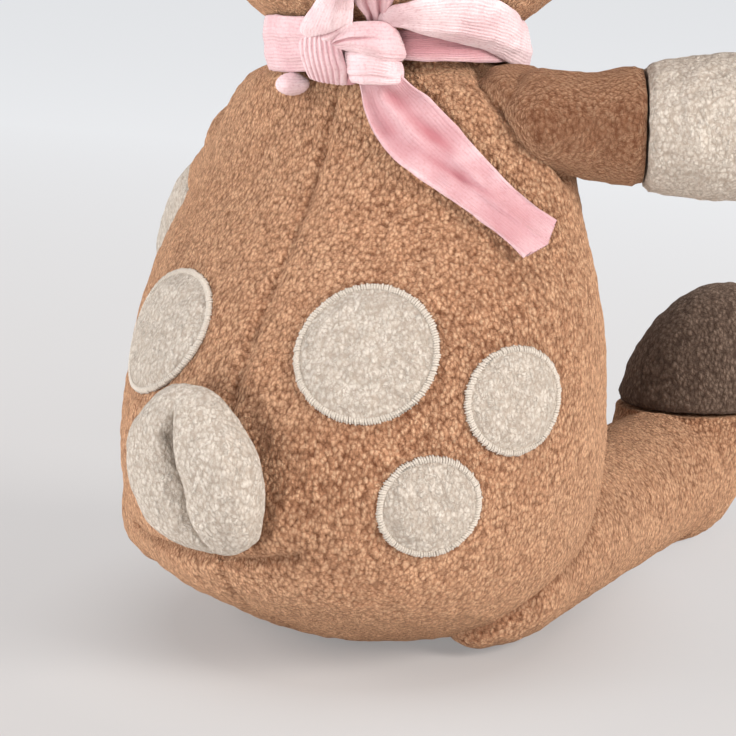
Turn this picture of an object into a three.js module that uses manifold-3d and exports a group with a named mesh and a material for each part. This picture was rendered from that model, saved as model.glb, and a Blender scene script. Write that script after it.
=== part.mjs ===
// A sitting plush deer with a ribbon round its neck. Millimetres, +Z up, the deer faces -Y.
// The origin is the middle of the flat seat that it sits on, and its right side is -X.
import * as THREE from "three";
import { mergeVertices } from "three/addons/utils/BufferGeometryUtils.js";
import Module from "manifold-3d";

const wasm = await Module();
wasm.setup();

// Clearances: gap between pieces at rest, jointGap where a limb turns in its socket
const gap = 0.3;
const jointGap = 0.4;
const facetGap = 1;
const seatCut = 0.5;
const overrun = 80;
const weld = 0.001;

// How many flat sides the round forms have
const facets = { neck: 28, socket: 16, plainSocket: 10, muzzle: 20, face: 12, ear: 16, spotQuarter: 18 };
const ribbonFacets = { band: 26, knot: 16, loop: 12 };

// Body cover and its stuffing
const torso = { height: 174, width: 142, depth: 138, wall: 2 };
const neck = { radius: 20, depth: 34, setback: -17 };
const frontPanel = { backUnderSeat: 34, frontAtWaist: -40, waist: 58, frontAtNeck: -34 };

// Head and face
const head = { radius: 64, sunk: 13.5, cheekShare: 0.035, cheekPower: 6, neckOpening: 19, wall: 2 };
const muzzle = { halfWidth: 27, halfDepth: 24, halfHeight: 19, drop: 15, reach: 57 };
const nose = { halfWidth: 8.5, halfDepth: 5, halfHeight: 5.5, rise: 9, sunk: 3 };
const eye = { halfWidth: 4.6, halfHeight: 5.8, halfDepth: 3, proud: 1.5, turnDegrees: 26, liftDegrees: 9 };
const ear = { length: 56, width: 32, thickness: 11, placeDegrees: 52, tiltDegrees: 66 };

// Arms: heading is how far an arm points out from straight ahead, droop how far below level,
// and drop how far its shoulder is below the top of the body
const arm = { rootRadius: 16.5, waistRadius: 16, endRadius: 19.5, length: 84, wrist: 27, wall: 2 };
const armPoses = {
  right: { side: -1, across: 49, setback: -13, drop: 28, heading: 58, droop: 0, raise: 25, lower: -35 },
  left: { side: 1, across: 47, setback: -13, drop: 40, heading: 52, droop: 36, raise: 45, lower: 0 },
};

// Legs: a tube that lies on the floor, and an end that turns up
const leg = { radius: 22, raise: 8, lower: -30, wall: 2 };
const foot = { halfWidth: 25, halfDepth: 21, halfHeight: 42, hoofSeam: 38 };
const hip = { apart: 80, setback: -10 };
const legPoses = {
  right: { side: -1, across: -34, ahead: -134, tiltDegrees: -14 },
  left: { side: 1, across: 26, ahead: -143, tiltDegrees: 4 },
};

// Tail: a padded leaf, cupped along its length, that stands on its root behind the seat
const tail = { length: 49, width: 43, thickness: 15, groove: 7, grooveWidth: 10 };
const tailDetail = { levels: 11, sides: 20, startShare: 0.03, endShare: 0.97, swellPower: 0.55 };
const tailRoot = { across: -2.5, behind: 73, height: 37, leanBackDegrees: -4, leanSideDegrees: 10 };

// Spots: fleece rounds on the back panels. around is the angle from the middle of the back, towards -X
const spotThickness = 2;
const spots = {
  spot_large: { around: 27.5, height: 92.5, width: 38, tall: 37.5, leanDegrees: 0 },
  spot_upper: { around: 66, height: 79.5, width: 30, tall: 28, leanDegrees: 0 },
  spot_lower: { around: 48.5, height: 54, width: 28, tall: 26.5, leanDegrees: 0 },
  spot_left: { around: -31, height: 90.5, width: 40, tall: 36, leanDegrees: 15 },
};

// Ribbon: a band round the top of the neck, tied behind. drop is how far below that top a lump sits
const band = { innerRadius: 28.6, outerRadius: 36.5, width: 17, edge: 2.5 };
const knot = { around: 22, out: 36, drop: 5.5, tiltDegrees: 0 };
const knotSize = { halfWidth: 10.5, halfDepth: 7, halfHeight: 9 };
const loop = { around: 11, out: 47, drop: -6, tiltDegrees: -43 };
const loopSize = { halfWidth: 7, halfDepth: 3.2, halfHeight: 10.5 };
const shortEnd = { around: -20, out: 35, drop: 18, tiltDegrees: 0 };
const shortEndSize = { halfWidth: 6, halfDepth: 3.6, halfHeight: 4 };
const longTail = { width: 17.5, thickness: 2, knotGap: 1.8, steps: 10 };
const quarterTurn = 90;

// The long tail's way down the back, in rows of shares: of a quarter turn from the middle of the back,
// of the body's height, and of the ribbon's width that it stands off
const longTailShares = [
  [0.189, 0.908, 0.486],
  [0.244, 0.862, 0.143],
  [0.4, 0.8046, 0.0286],
  [0.6, 0.7356, 0.0286],
  [0.789, 0.678, 0.0286],
];

const colours = {
  fleece: 0xb8896b,
  cream: 0xddd1c1,
  hoof: 0x6c5a4e,
  ribbon: 0xecb9c0,
  thread: 0x3b2a24,
  stuffing: 0xf4f1ea,
};

const up = new THREE.Vector3(0, 0, 1);

function radians(degrees) {
  return THREE.MathUtils.degToRad(degrees);
}

// Closed solids from geometries, and back
function toSolid(geometry) {
  const bare = geometry.clone();
  bare.deleteAttribute("normal");
  bare.deleteAttribute("uv");
  const merged = mergeVertices(bare, weld);
  const triVerts = new Uint32Array(merged.index.array);
  const vertProperties = merged.attributes.position.array;
  return new wasm.Manifold(new wasm.Mesh({ numProp: 3, vertProperties, triVerts }));
}

function toGeometry(solid) {
  const mesh = solid.getMesh();
  const geometry = new THREE.BufferGeometry();
  geometry.setAttribute("position", new THREE.BufferAttribute(mesh.vertProperties, 3));
  geometry.setIndex(new THREE.BufferAttribute(mesh.triVerts, 1));
  geometry.computeVertexNormals();
  return geometry;
}

function without(solid, cutters) {
  return cutters.reduce((rest, cutter) => rest.subtract(cutter), solid);
}

function moved(solid, matrix) {
  return toSolid(toGeometry(solid).applyMatrix4(matrix));
}

function turned(solid, pivot, axis, degrees) {
  const back = new THREE.Matrix4().makeTranslation(pivot.clone().negate());
  const turn = new THREE.Matrix4().makeRotationAxis(axis, radians(degrees));
  return moved(solid, new THREE.Matrix4().makeTranslation(pivot).multiply(turn).multiply(back));
}

// A closed solid through rings of equally many points, with a pole in the middle of each end ring
function loft(rings) {
  const sides = rings[0].length;
  const middle = (ring) => ring.reduce((sum, p) => sum.add(p), new THREE.Vector3()).divideScalar(sides);
  const points = [middle(rings[0]), ...rings.flat(), middle(rings.at(-1))];
  const at = (ring, k) => 1 + ring * sides + (k % sides);
  const faces = [];
  for (let k = 0; k < sides; k += 1) {
    faces.push(0, at(0, k + 1), at(0, k));
    faces.push(points.length - 1, at(rings.length - 1, k), at(rings.length - 1, k + 1));
    for (let ring = 0; ring + 1 < rings.length; ring += 1) {
      faces.push(at(ring, k), at(ring, k + 1), at(ring + 1, k + 1));
      faces.push(at(ring, k), at(ring + 1, k + 1), at(ring + 1, k));
    }
  }
  const geometry = new THREE.BufferGeometry().setFromPoints(points);
  geometry.setIndex(faces);
  return toSolid(geometry);
}

function ellipse(halfWidth, halfDepth, middleY, z, sides) {
  return Array.from({ length: sides }, (_, k) => {
    const turn = (2 * Math.PI * k) / sides;
    return new THREE.Vector3(halfWidth * Math.cos(turn), middleY + halfDepth * Math.sin(turn), z);
  });
}

// An egg of the given half sizes, turned and then placed
function ball(half, place, rotation, sides) {
  const geometry = new THREE.SphereGeometry(1, sides, Math.round(sides / 2) + 1);
  geometry.rotateX(Math.PI / 2);
  geometry.scale(half.x, half.y, half.z);
  geometry.applyQuaternion(rotation);
  geometry.translate(place.x, place.y, place.z);
  return toSolid(geometry);
}

function box(low, high) {
  const size = new THREE.Vector3().subVectors(high, low);
  const middle = new THREE.Vector3().addVectors(low, high).multiplyScalar(0.5);
  const geometry = new THREE.BoxGeometry(size.x, size.y, size.z);
  geometry.translate(middle.x, middle.y, middle.z);
  return toSolid(geometry);
}

function above(height) {
  const far = torso.height + overrun;
  return box(new THREE.Vector3(-far, -far, height), new THREE.Vector3(far, far, 2 * far));
}

// The far side of a plane square to a direction, some way along it
function beyond(place, direction, along) {
  const size = 2 * overrun;
  const geometry = new THREE.BoxGeometry(size, size, size);
  geometry.translate(0, 0, size / 2 + along);
  geometry.applyQuaternion(new THREE.Quaternion().setFromUnitVectors(up, direction));
  geometry.translate(place.x, place.y, place.z);
  return toSolid(geometry);
}

// Body: rows of height share, half width share, half depth share and how far back, as a half depth share
const torsoShares = [
  [-0.003, 0.3, 0.28, -0.14],
  [0.02, 0.52, 0.5, -0.12],
  [0.07, 0.74, 0.72, -0.1],
  [0.15, 0.88, 0.93, -0.02],
  [0.25, 0.95, 1, 0],
  [0.36, 0.98, 0.98, 0],
  [0.48, 0.985, 0.87, -0.02],
  [0.6, 0.955, 0.69, -0.05],
  [0.72, 0.86, 0.52, -0.12],
  [0.82, 0.78, 0.45, -0.19],
  [0.895, 0.67, 0.42, -0.23],
  [0.935, 0.44, 0.41, -0.245],
  [1, 0.4, 0.41, -0.246],
];
const fineTorso = { rings: 17, sides: 24 };
const plainTorso = { rings: 11, sides: 16 };
const seatShare = 0.1;
const shareCurves = torsoShares[0].map(
  (_, column) => new THREE.SplineCurve(torsoShares.map((row, k) => new THREE.Vector2(k, row[column]))),
);

// The body's section at a share of the way up its rows, grown outwards on every side
function torsoSection(share, grow) {
  const [high, wide, deep, back] = shareCurves.map((curve) => curve.getPoint(share).y);
  return {
    halfWidth: (torso.width / 2) * wide + grow,
    halfDepth: (torso.depth / 2) * deep + grow,
    middleY: (torso.depth / 2) * back,
    z: torso.height * high + (share < seatShare ? -grow : 0),
  };
}

function torsoForm(grow, detail = fineTorso) {
  const rings = Array.from({ length: detail.rings }, (_, k) => {
    const { halfWidth, halfDepth, middleY, z } = torsoSection(k / (detail.rings - 1), grow);
    return ellipse(halfWidth, halfDepth, middleY, z, detail.sides);
  });
  return loft(rings);
}

// The point of the body's back at an angle from its middle and a height, and the direction out of it there
function onBack(around, height, out = 0) {
  const halvings = 30;
  let low = 0;
  let high = 1;
  for (let k = 0; k < halvings; k += 1) {
    const middle = (low + high) / 2;
    if (torso.height * shareCurves[0].getPoint(middle).y < height) low = middle;
    else high = middle;
  }
  const place = (share, angle) => {
    const { halfWidth, halfDepth, middleY, z } = torsoSection(share, 0);
    return new THREE.Vector3(-halfWidth * Math.sin(angle), middleY + halfDepth * Math.cos(angle), z);
  };
  const angle = radians(around);
  const nudge = 0.01;
  const point = place(low, angle);
  const across = place(low, angle + nudge).sub(place(low, angle - nudge));
  const along = place(low + nudge, angle).sub(place(low - nudge, angle));
  const normal = new THREE.Vector3().crossVectors(across, along).normalize();
  return { point: point.addScaledVector(normal, out), normal, along: along.normalize() };
}

const headCentre = new THREE.Vector3(0, neck.setback, torso.height + head.radius - head.sunk);
const fineHead = { lowRings: 9, highRings: 7, sides: 26 };
const plainHead = { lowRings: 3, highRings: 6, sides: 16 };
const headLatitudes = { low: -87, neck: -33, high: 84 };

// A round head with fuller cheeks: its rings lie close together where it turns on the neck
function headForm(grow, detail = fineHead) {
  const radius = head.radius + grow;
  const { low, neck: middle, high } = headLatitudes;
  const spread = (from, to, count) => (
    Array.from({ length: count }, (_, k) => from + ((to - from) * k) / count)
  );
  const lower = spread(low, middle, detail.lowRings);
  const latitudes = [...lower, ...spread(middle, high, detail.highRings), high];
  const rings = latitudes.map(radians).map((latitude) => {
    const across = radius * Math.cos(latitude);
    const wide = across * (1 + head.cheekShare * Math.cos(latitude) ** head.cheekPower);
    return ellipse(wide, across, headCentre.y, headCentre.z + radius * Math.sin(latitude), detail.sides);
  });
  return loft(rings);
}

// The upright round space of the neck, from a height up to the middle of the head
function neckSpace(radius, bottom) {
  const height = headCentre.z - bottom;
  const geometry = new THREE.CylinderGeometry(radius, radius, height, facets.neck);
  geometry.rotateX(Math.PI / 2);
  geometry.translate(0, neck.setback, bottom + height / 2);
  return toSolid(geometry);
}

// Everything on one side of the middle plane, short of it by half a gap: side is -1 for the right
function half(side) {
  const far = torso.height + overrun;
  const near = gap / 2;
  return side < 0
    ? box(new THREE.Vector3(-far, -far, -far), new THREE.Vector3(-near, far, 2 * far))
    : box(new THREE.Vector3(near, -far, -far), new THREE.Vector3(far, far, 2 * far));
}

// The unit vector that a limb points along
function heading(side, outDegrees, droopDegrees) {
  const out = radians(outDegrees);
  const droop = radians(droopDegrees);
  const level = Math.cos(droop);
  return new THREE.Vector3(side * Math.sin(out) * level, -Math.cos(out) * level, -Math.sin(droop));
}

function arc(centre, radius, fromDegrees, toDegrees, steps) {
  return Array.from({ length: steps + 1 }, (_, k) => {
    const turn = radians(fromDegrees + ((toDegrees - fromDegrees) * k) / steps);
    return new THREE.Vector2(Math.max(0, radius * Math.cos(turn)), centre + radius * Math.sin(turn));
  });
}

// A round limb from its profile, which starts and ends on the axis
function limb(profile, root, direction, sides) {
  const geometry = new THREE.LatheGeometry(profile, sides);
  geometry.rotateX(Math.PI / 2);
  geometry.applyQuaternion(new THREE.Quaternion().setFromUnitVectors(up, direction));
  geometry.translate(root.x, root.y, root.z);
  return toSolid(geometry);
}

const fineLimb = { sides: 14, steps: 4 };
const plainLimb = { sides: 10, steps: 3 };

function shoulderOf(pose) {
  return new THREE.Vector3(pose.side * pose.across, pose.setback, torso.height - pose.drop);
}

function armDirection(pose) {
  return heading(pose.side, pose.heading, pose.droop);
}

// An arm's hinge is level and square to the arm, and a positive turn raises it
function armAxis(pose) {
  return new THREE.Vector3().crossVectors(heading(pose.side, pose.heading, 0), up).normalize();
}

// An arm: a ball in the body's socket and a sleeve that swells to its end, cut where the body is in its way
function armForm(pose, grow, detail = fineLimb) {
  const place = shoulderOf(pose);
  const direction = armDirection(pose);
  const end = arm.length - arm.endRadius;
  const sleeve = limb(
    [
      ...arc(0, arm.rootRadius + grow, -90, 0, detail.steps),
      new THREE.Vector2(arm.waistRadius + grow, arm.rootRadius),
      ...arc(end, arm.endRadius + grow, -15, 90, detail.steps + 1),
    ],
    place,
    direction,
    detail.sides,
  );
  const rootProfile = arc(0, arm.rootRadius + grow, -90, 90, 2 * detail.steps);
  const root = limb(rootProfile, place, direction, detail.sides);
  const body = torsoForm(facetGap + jointGap - grow, plainTorso);
  const turns = [pose.lower, 0, pose.raise].map((angle) => turned(body, place, armAxis(pose), -angle));
  return without(sleeve, turns).add(root);
}

function armPieces(name, pose) {
  const place = shoulderOf(pose);
  const direction = armDirection(pose);
  const shell = armForm(pose, 0).subtract(armForm(pose, -arm.wall, plainLimb));
  return [
    [`arm_${name}`, shell.subtract(beyond(place, direction, arm.wrist)), "fleece"],
    [`front_hoof_${name}`, shell.intersect(beyond(place, direction, arm.wrist + gap)), "cream"],
    [`arm_stuffing_${name}`, armForm(pose, -arm.wall - gap, plainLimb), "stuffing"],
  ];
}

// The round hollow that a limb's ball turns in: its flat faces stay clear of the ball too
function socket(place, radius, sides) {
  const size = (radius + jointGap) / Math.cos(Math.PI / sides) ** 2;
  return ball(new THREE.Vector3(size, size, size), place, new THREE.Quaternion(), sides);
}

function hipOf(pose) {
  return new THREE.Vector3((pose.side * hip.apart) / 2, hip.setback, leg.radius - seatCut);
}

function legVector(pose) {
  const place = hipOf(pose);
  return new THREE.Vector3(pose.across - place.x, pose.ahead - place.y, 0);
}

function legDirection(pose) {
  return legVector(pose).normalize();
}

// A leg's level tube, from its ball in the hip to the foot that it carries
function legTube(pose, grow, detail = fineLimb) {
  const radius = leg.radius + grow;
  const reach = legVector(pose).length();
  const profile = [...arc(0, radius, -90, 0, detail.steps), ...arc(reach, radius, 0, 90, detail.steps)];
  return limb(profile, hipOf(pose), legDirection(pose), detail.sides);
}

function footForm(pose, grow, detail = fineLimb) {
  const size = new THREE.Vector3(foot.halfWidth + grow, foot.halfDepth + grow, foot.halfHeight + grow);
  const place = new THREE.Vector3(pose.across, pose.ahead, foot.halfHeight - seatCut);
  const acrossTilt = new THREE.Vector3(0, 1, 0);
  const tilt = new THREE.Quaternion().setFromAxisAngle(acrossTilt, radians(pose.tiltDegrees));
  return ball(size, place, tilt, detail.sides);
}

function legForm(pose, grow, detail = fineLimb) {
  return legTube(pose, grow, detail).add(footForm(pose, grow, detail)).intersect(above(-grow));
}

function legPieces(name, pose) {
  const shell = legForm(pose, 0).subtract(legForm(pose, -leg.wall, plainLimb));
  const reach = legVector(pose).length() - foot.halfDepth;
  const toe = (spare) => above(foot.hoofSeam - spare)
    .intersect(beyond(hipOf(pose), legDirection(pose), reach));
  return [
    [`leg_${name}`, shell.subtract(toe(gap)), "fleece"],
    [`rear_hoof_${name}`, shell.intersect(toe(0)), "hoof"],
    [`leg_stuffing_${name}`, legForm(pose, -leg.wall - gap, plainLimb), "stuffing"],
  ];
}

// The room in the body that a leg needs as it swings: its socket, and a slot that opens towards the front
function legRoom(pose, sides) {
  const root = hipOf(pose);
  const direction = legDirection(pose);
  const across = new THREE.Vector3().crossVectors(up, direction);
  const radius = leg.radius + jointGap;
  const corner = radius / Math.cos(Math.PI / sides);
  const section = (along) => Array.from({ length: sides }, (_, k) => {
    const turn = (2 * Math.PI * (k + 0.5)) / sides;
    const swing = radians(Math.sin(turn) > 0 ? leg.raise : leg.lower);
    const high = along * Math.tan(swing) + (corner / Math.cos(swing)) * Math.sin(turn);
    const place = root.clone().addScaledVector(direction, along).addScaledVector(up, high);
    return place.addScaledVector(across, corner * Math.cos(turn));
  });
  const start = radius * Math.sin(radians(leg.lower));
  return socket(root, leg.radius, sides).add(loft([section(start), section(torso.depth)]));
}

// The front panel's space: a prism across the body that runs from under the seat up the belly
function frontSpace(grow) {
  const far = torso.height + overrun;
  const outline = [
    [frontPanel.backUnderSeat, -overrun],
    [frontPanel.backUnderSeat, 0],
    [frontPanel.frontAtWaist, frontPanel.waist],
    [frontPanel.frontAtNeck, far],
    [-far, far],
    [-far, -overrun],
  ];
  const shape = new THREE.Shape(outline.map(([y, z]) => new THREE.Vector2(y + grow, z)));
  const geometry = new THREE.ExtrudeGeometry(shape, { depth: 2 * torso.width, bevelEnabled: false });
  geometry.translate(0, 0, -torso.width);
  geometry.applyMatrix4(new THREE.Matrix4().set(0, 0, 1, 0, 1, 0, 0, 0, 0, 1, 0, 0, 0, 0, 0, 1));
  return toSolid(geometry);
}

// What the limbs, the head and the neck take out of the body, with hollows of so many sides
function torsoCuts(sides) {
  return [
    headForm(gap),
    neckSpace(neck.radius, torso.height - neck.depth),
    ...Object.values(armPoses).map((pose) => socket(shoulderOf(pose), arm.rootRadius, sides)),
    ...Object.values(legPoses).map((pose) => legRoom(pose, sides)),
  ];
}

function torsoPieces() {
  const inner = torsoForm(-torso.wall, plainTorso).intersect(above(torso.wall));
  const cover = without(torsoForm(0).intersect(above(0)).subtract(inner), torsoCuts(facets.socket));
  const back = cover.subtract(frontSpace(gap));
  const inset = torso.wall + gap;
  const stuffing = torsoForm(-inset, plainTorso).intersect(above(inset));
  const plug = neckSpace(neck.radius - gap, torso.height - neck.depth + gap);
  return [
    ["torso_back_right", back.intersect(half(-1)), "fleece"],
    ["torso_back_left", back.intersect(half(1)), "fleece"],
    ["torso_front", cover.intersect(frontSpace(0)), "fleece"],
    ["torso_stuffing", without(stuffing, torsoCuts(facets.plainSocket)), "stuffing"],
    ["neck_stuffing", plug.subtract(headForm(gap)), "stuffing"],
  ];
}

// The direction from the middle of the head to a place on it: turn from straight ahead, lift above level
function headDirection(turnDegrees, liftDegrees) {
  const turn = radians(turnDegrees);
  const lift = radians(liftDegrees);
  const level = Math.cos(lift);
  return new THREE.Vector3(Math.sin(turn) * level, -Math.cos(turn) * level, Math.sin(lift));
}

function muzzleForm(grow) {
  const size = new THREE.Vector3(muzzle.halfWidth + grow, muzzle.halfDepth + grow, muzzle.halfHeight + grow);
  const place = headCentre.clone().add(new THREE.Vector3(0, -muzzle.reach, -muzzle.drop));
  return ball(size, place, new THREE.Quaternion(), facets.muzzle);
}

function nosePiece() {
  const size = new THREE.Vector3(nose.halfWidth, nose.halfDepth, nose.halfHeight);
  const tip = muzzle.reach + muzzle.halfDepth - nose.sunk;
  const place = headCentre.clone().add(new THREE.Vector3(0, -tip, nose.rise - muzzle.drop));
  return ball(size, place, new THREE.Quaternion(), facets.face).subtract(muzzleForm(gap));
}

function eyePiece(side) {
  const direction = headDirection(side * eye.turnDegrees, eye.liftDegrees);
  const size = new THREE.Vector3(eye.halfWidth, eye.halfHeight, eye.halfDepth);
  const place = headCentre.clone().addScaledVector(direction, head.radius + eye.proud - eye.halfDepth);
  const turn = new THREE.Quaternion().setFromUnitVectors(up, direction);
  return ball(size, place, turn, facets.face).subtract(headForm(gap));
}

// An ear stands on its narrow root: direction is the way it points, root the end that is sewn to the head
function earFrame(side) {
  const place = radians(ear.placeDegrees);
  const tilt = radians(ear.tiltDegrees);
  const outwards = new THREE.Vector3(side * Math.sin(place), 0, Math.cos(place));
  const direction = new THREE.Vector3(side * Math.sin(tilt), 0, Math.cos(tilt));
  const cheek = 1 + head.cheekShare * Math.sin(place) ** (head.cheekPower + 1);
  const root = headCentre.clone().addScaledVector(outwards, head.radius * cheek + gap);
  return { direction, root };
}

function earPieces(name, side) {
  const { direction, root } = earFrame(side);
  const middle = root.clone().addScaledVector(direction, ear.length / 2);
  const size = new THREE.Vector3(ear.width / 2, ear.thickness / 2, ear.length / 2);
  const turn = new THREE.Quaternion().setFromUnitVectors(up, direction);
  const whole = ball(size, middle, turn, facets.ear);
  const ahead = new THREE.Vector3(0, -1, 0);
  return [
    [`ear_${name}`, whole.subtract(beyond(root, ahead, -gap)), "fleece"],
    [`ear_lining_${name}`, whole.intersect(beyond(root, ahead, 0)), "cream"],
  ];
}

function headPieces() {
  const opening = neckSpace(head.neckOpening, torso.height - overrun);
  const shell = headForm(0).subtract(headForm(-head.wall, plainHead)).subtract(opening);
  return [
    ["head_right", shell.intersect(half(-1)), "fleece"],
    ["head_left", shell.intersect(half(1)), "fleece"],
    ["head_stuffing", headForm(-head.wall - gap, plainHead), "stuffing"],
    ["muzzle", muzzleForm(0).subtract(headForm(gap)), "cream"],
    ["nose", nosePiece(), "thread"],
    ["eye_right", eyePiece(-1), "thread"],
    ["eye_left", eyePiece(1), "thread"],
    ...earPieces("right", -1),
    ...earPieces("left", 1),
  ];
}

// The tail's leaf: a padded section at each level, wide in the middle, with a groove down its outer side
function tailPiece() {
  const { levels, sides, startShare, endShare, swellPower } = tailDetail;
  const rings = Array.from({ length: levels }, (_, level) => {
    const share = startShare + ((endShare - startShare) * level) / (levels - 1);
    const swell = Math.sin(Math.PI * share) ** swellPower;
    const halfWidth = (tail.width / 2) * swell;
    const halfDepth = (tail.thickness / 2) * Math.sqrt(swell);
    return Array.from({ length: sides }, (_, k) => {
      const turn = (2 * Math.PI * k) / sides;
      const x = halfWidth * Math.cos(turn);
      const fromMiddle = (2 * x) / tail.grooveWidth;
      const fold = Math.sin(turn) > 0 ? tail.groove * swell * Math.exp(-fromMiddle * fromMiddle) : 0;
      return new THREE.Vector3(x, halfDepth * Math.sin(turn) - fold, tail.length * share);
    });
  });
  const lean = new THREE.Euler(radians(tailRoot.leanBackDegrees), radians(tailRoot.leanSideDegrees), 0);
  const matrix = new THREE.Matrix4().makeRotationFromEuler(lean);
  matrix.setPosition(tailRoot.across, tailRoot.behind, tailRoot.height);
  return moved(loft(rings), matrix).subtract(torsoForm(gap));
}

function spotPiece(spot) {
  const { point, normal, along } = onBack(spot.around, spot.height);
  const shape = new THREE.Shape().absellipse(0, 0, spot.width / 2, spot.tall / 2, 0, 2 * Math.PI, false);
  const depth = spot.tall / 2;
  const curveSegments = facets.spotQuarter;
  const geometry = new THREE.ExtrudeGeometry(shape, { depth, bevelEnabled: false, curveSegments });
  geometry.rotateZ(radians(spot.leanDegrees));
  const across = new THREE.Vector3().crossVectors(along, normal).normalize();
  const matrix = new THREE.Matrix4().makeBasis(across, along, normal);
  matrix.setPosition(point.clone().addScaledVector(normal, -depth / 2));
  geometry.applyMatrix4(matrix);
  const layer = torsoForm(gap + spotThickness).subtract(torsoForm(gap));
  return toSolid(geometry).intersect(layer);
}

// A rounded lump of ribbon outside the neck's middle line, grown on every side
function ribbonLump({ around, out, drop, tiltDegrees }, { halfWidth, halfDepth, halfHeight }, grow, sides) {
  const angle = radians(around);
  const y = neck.setback + out * Math.cos(angle);
  const place = new THREE.Vector3(-out * Math.sin(angle), y, torso.height - drop);
  const size = new THREE.Vector3(halfWidth + grow, halfDepth + grow, halfHeight + grow);
  const lean = new THREE.Quaternion().setFromAxisAngle(new THREE.Vector3(1, 0, 0), radians(tiltDegrees));
  const face = new THREE.Quaternion().setFromAxisAngle(up, angle);
  return ball(size, place, face.multiply(lean), sides);
}

function bandForm(grow) {
  const { innerRadius, outerRadius, edge } = band;
  const top = torso.height;
  const bottom = top - band.width;
  const profile = [
    [innerRadius - grow, bottom - grow],
    [outerRadius - edge, bottom - grow],
    [outerRadius + grow, bottom + edge],
    [outerRadius + grow, top - edge],
    [outerRadius - edge, top + grow],
    [innerRadius - grow, top + grow],
    [innerRadius - grow, bottom - grow],
  ];
  const points = profile.map(([r, z]) => new THREE.Vector2(r, z));
  const geometry = new THREE.LatheGeometry(points, ribbonFacets.band);
  geometry.rotateX(Math.PI / 2);
  geometry.translate(0, neck.setback, 0);
  return toSolid(geometry);
}

// The long tail: a flat strip that lies on the back, square to the body at each place of its route
function longTailPiece(obstacles) {
  const { width, thickness, steps } = longTail;
  const places = longTailShares.map(([aroundShare, heightShare, offShare]) => (
    onBack(quarterTurn * aroundShare, torso.height * heightShare, width * offShare + thickness / 2)
  ));
  const path = new THREE.CatmullRomCurve3(places.map((place) => place.point));
  const rings = Array.from({ length: steps + 1 }, (_, k) => {
    const along = (k / steps) * (places.length - 1);
    const before = Math.min(Math.floor(along), places.length - 2);
    const normal = places[before].normal.clone().lerp(places[before + 1].normal, along - before).normalize();
    const across = new THREE.Vector3().crossVectors(normal, path.getTangent(k / steps)).normalize();
    const corner = (side, face) => path.getPoint(k / steps)
      .addScaledVector(across, (side * width) / 2)
      .addScaledVector(normal, (face * thickness) / 2);
    return [...[-1, 0, 1].map((side) => corner(side, -1)), ...[1, 0, -1].map((side) => corner(side, 1))];
  });
  return without(loft(rings), [torsoForm(gap), ...obstacles]);
}

function ribbonPieces() {
  const headRoom = headForm(gap + jointGap);
  const body = torsoForm(gap);
  const ringRoom = bandForm(gap);
  const knotForm = (grow) => ribbonLump(knot, knotSize, grow, ribbonFacets.knot);
  const loopForm = ribbonLump(loop, loopSize, 0, ribbonFacets.loop);
  const shortEndForm = ribbonLump(shortEnd, shortEndSize, 0, ribbonFacets.loop);
  return [
    ["ribbon_band", without(bandForm(0), [headRoom, body, knotForm(gap)]), "ribbon"],
    ["ribbon_knot", without(knotForm(0), [headRoom, body]), "ribbon"],
    ["ribbon_loop", without(loopForm, [headRoom, ringRoom, knotForm(gap)]), "ribbon"],
    ["ribbon_short_end", without(shortEndForm, [body, ringRoom]), "ribbon"],
    ["ribbon_long_tail", longTailPiece([ringRoom, knotForm(longTail.knotGap)]), "ribbon"],
  ];
}

const pieces = [
  ...torsoPieces(),
  ...Object.entries(spots).map(([name, spot]) => [name, spotPiece(spot), "cream"]),
  ["tail", tailPiece(), "cream"],
  ...headPieces(),
  ...Object.entries(armPoses).flatMap(([name, pose]) => armPieces(name, pose)),
  ...Object.entries(legPoses).flatMap(([name, pose]) => legPieces(name, pose)),
  ...ribbonPieces(),
];

const group = new THREE.Group();
for (const [name, solid, slot] of pieces) {
  const material = new THREE.MeshStandardMaterial({ color: colours[slot], roughness: 0.95, metalness: 0 });
  const mesh = new THREE.Mesh(toGeometry(solid), material);
  mesh.name = name;
  group.add(mesh);
}

export default group;
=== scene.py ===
"""A sitting plush deer: fleece body and limbs, sewn-on spots, a folded tail and a tied ribbon.

Metres, +Z up. The deer faces -Y, its right side is -X, and the origin is the middle of its flat seat.
"""
import itertools
import math

import bpy
import numpy as np
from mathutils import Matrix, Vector


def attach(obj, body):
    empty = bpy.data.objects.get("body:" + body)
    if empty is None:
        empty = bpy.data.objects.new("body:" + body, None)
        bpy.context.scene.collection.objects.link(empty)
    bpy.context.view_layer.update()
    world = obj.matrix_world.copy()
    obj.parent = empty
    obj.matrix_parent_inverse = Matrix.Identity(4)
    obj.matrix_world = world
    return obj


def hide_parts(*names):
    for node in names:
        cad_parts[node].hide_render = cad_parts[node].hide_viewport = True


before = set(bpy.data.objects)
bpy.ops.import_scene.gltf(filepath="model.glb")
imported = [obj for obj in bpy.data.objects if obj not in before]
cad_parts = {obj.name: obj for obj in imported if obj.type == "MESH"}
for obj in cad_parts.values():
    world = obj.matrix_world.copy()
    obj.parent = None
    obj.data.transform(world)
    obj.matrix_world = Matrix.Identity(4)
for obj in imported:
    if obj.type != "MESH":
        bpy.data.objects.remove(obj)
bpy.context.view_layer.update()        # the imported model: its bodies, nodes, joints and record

MM = 0.001
UP = np.array([0.0, 0.0, 1.0])

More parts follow.
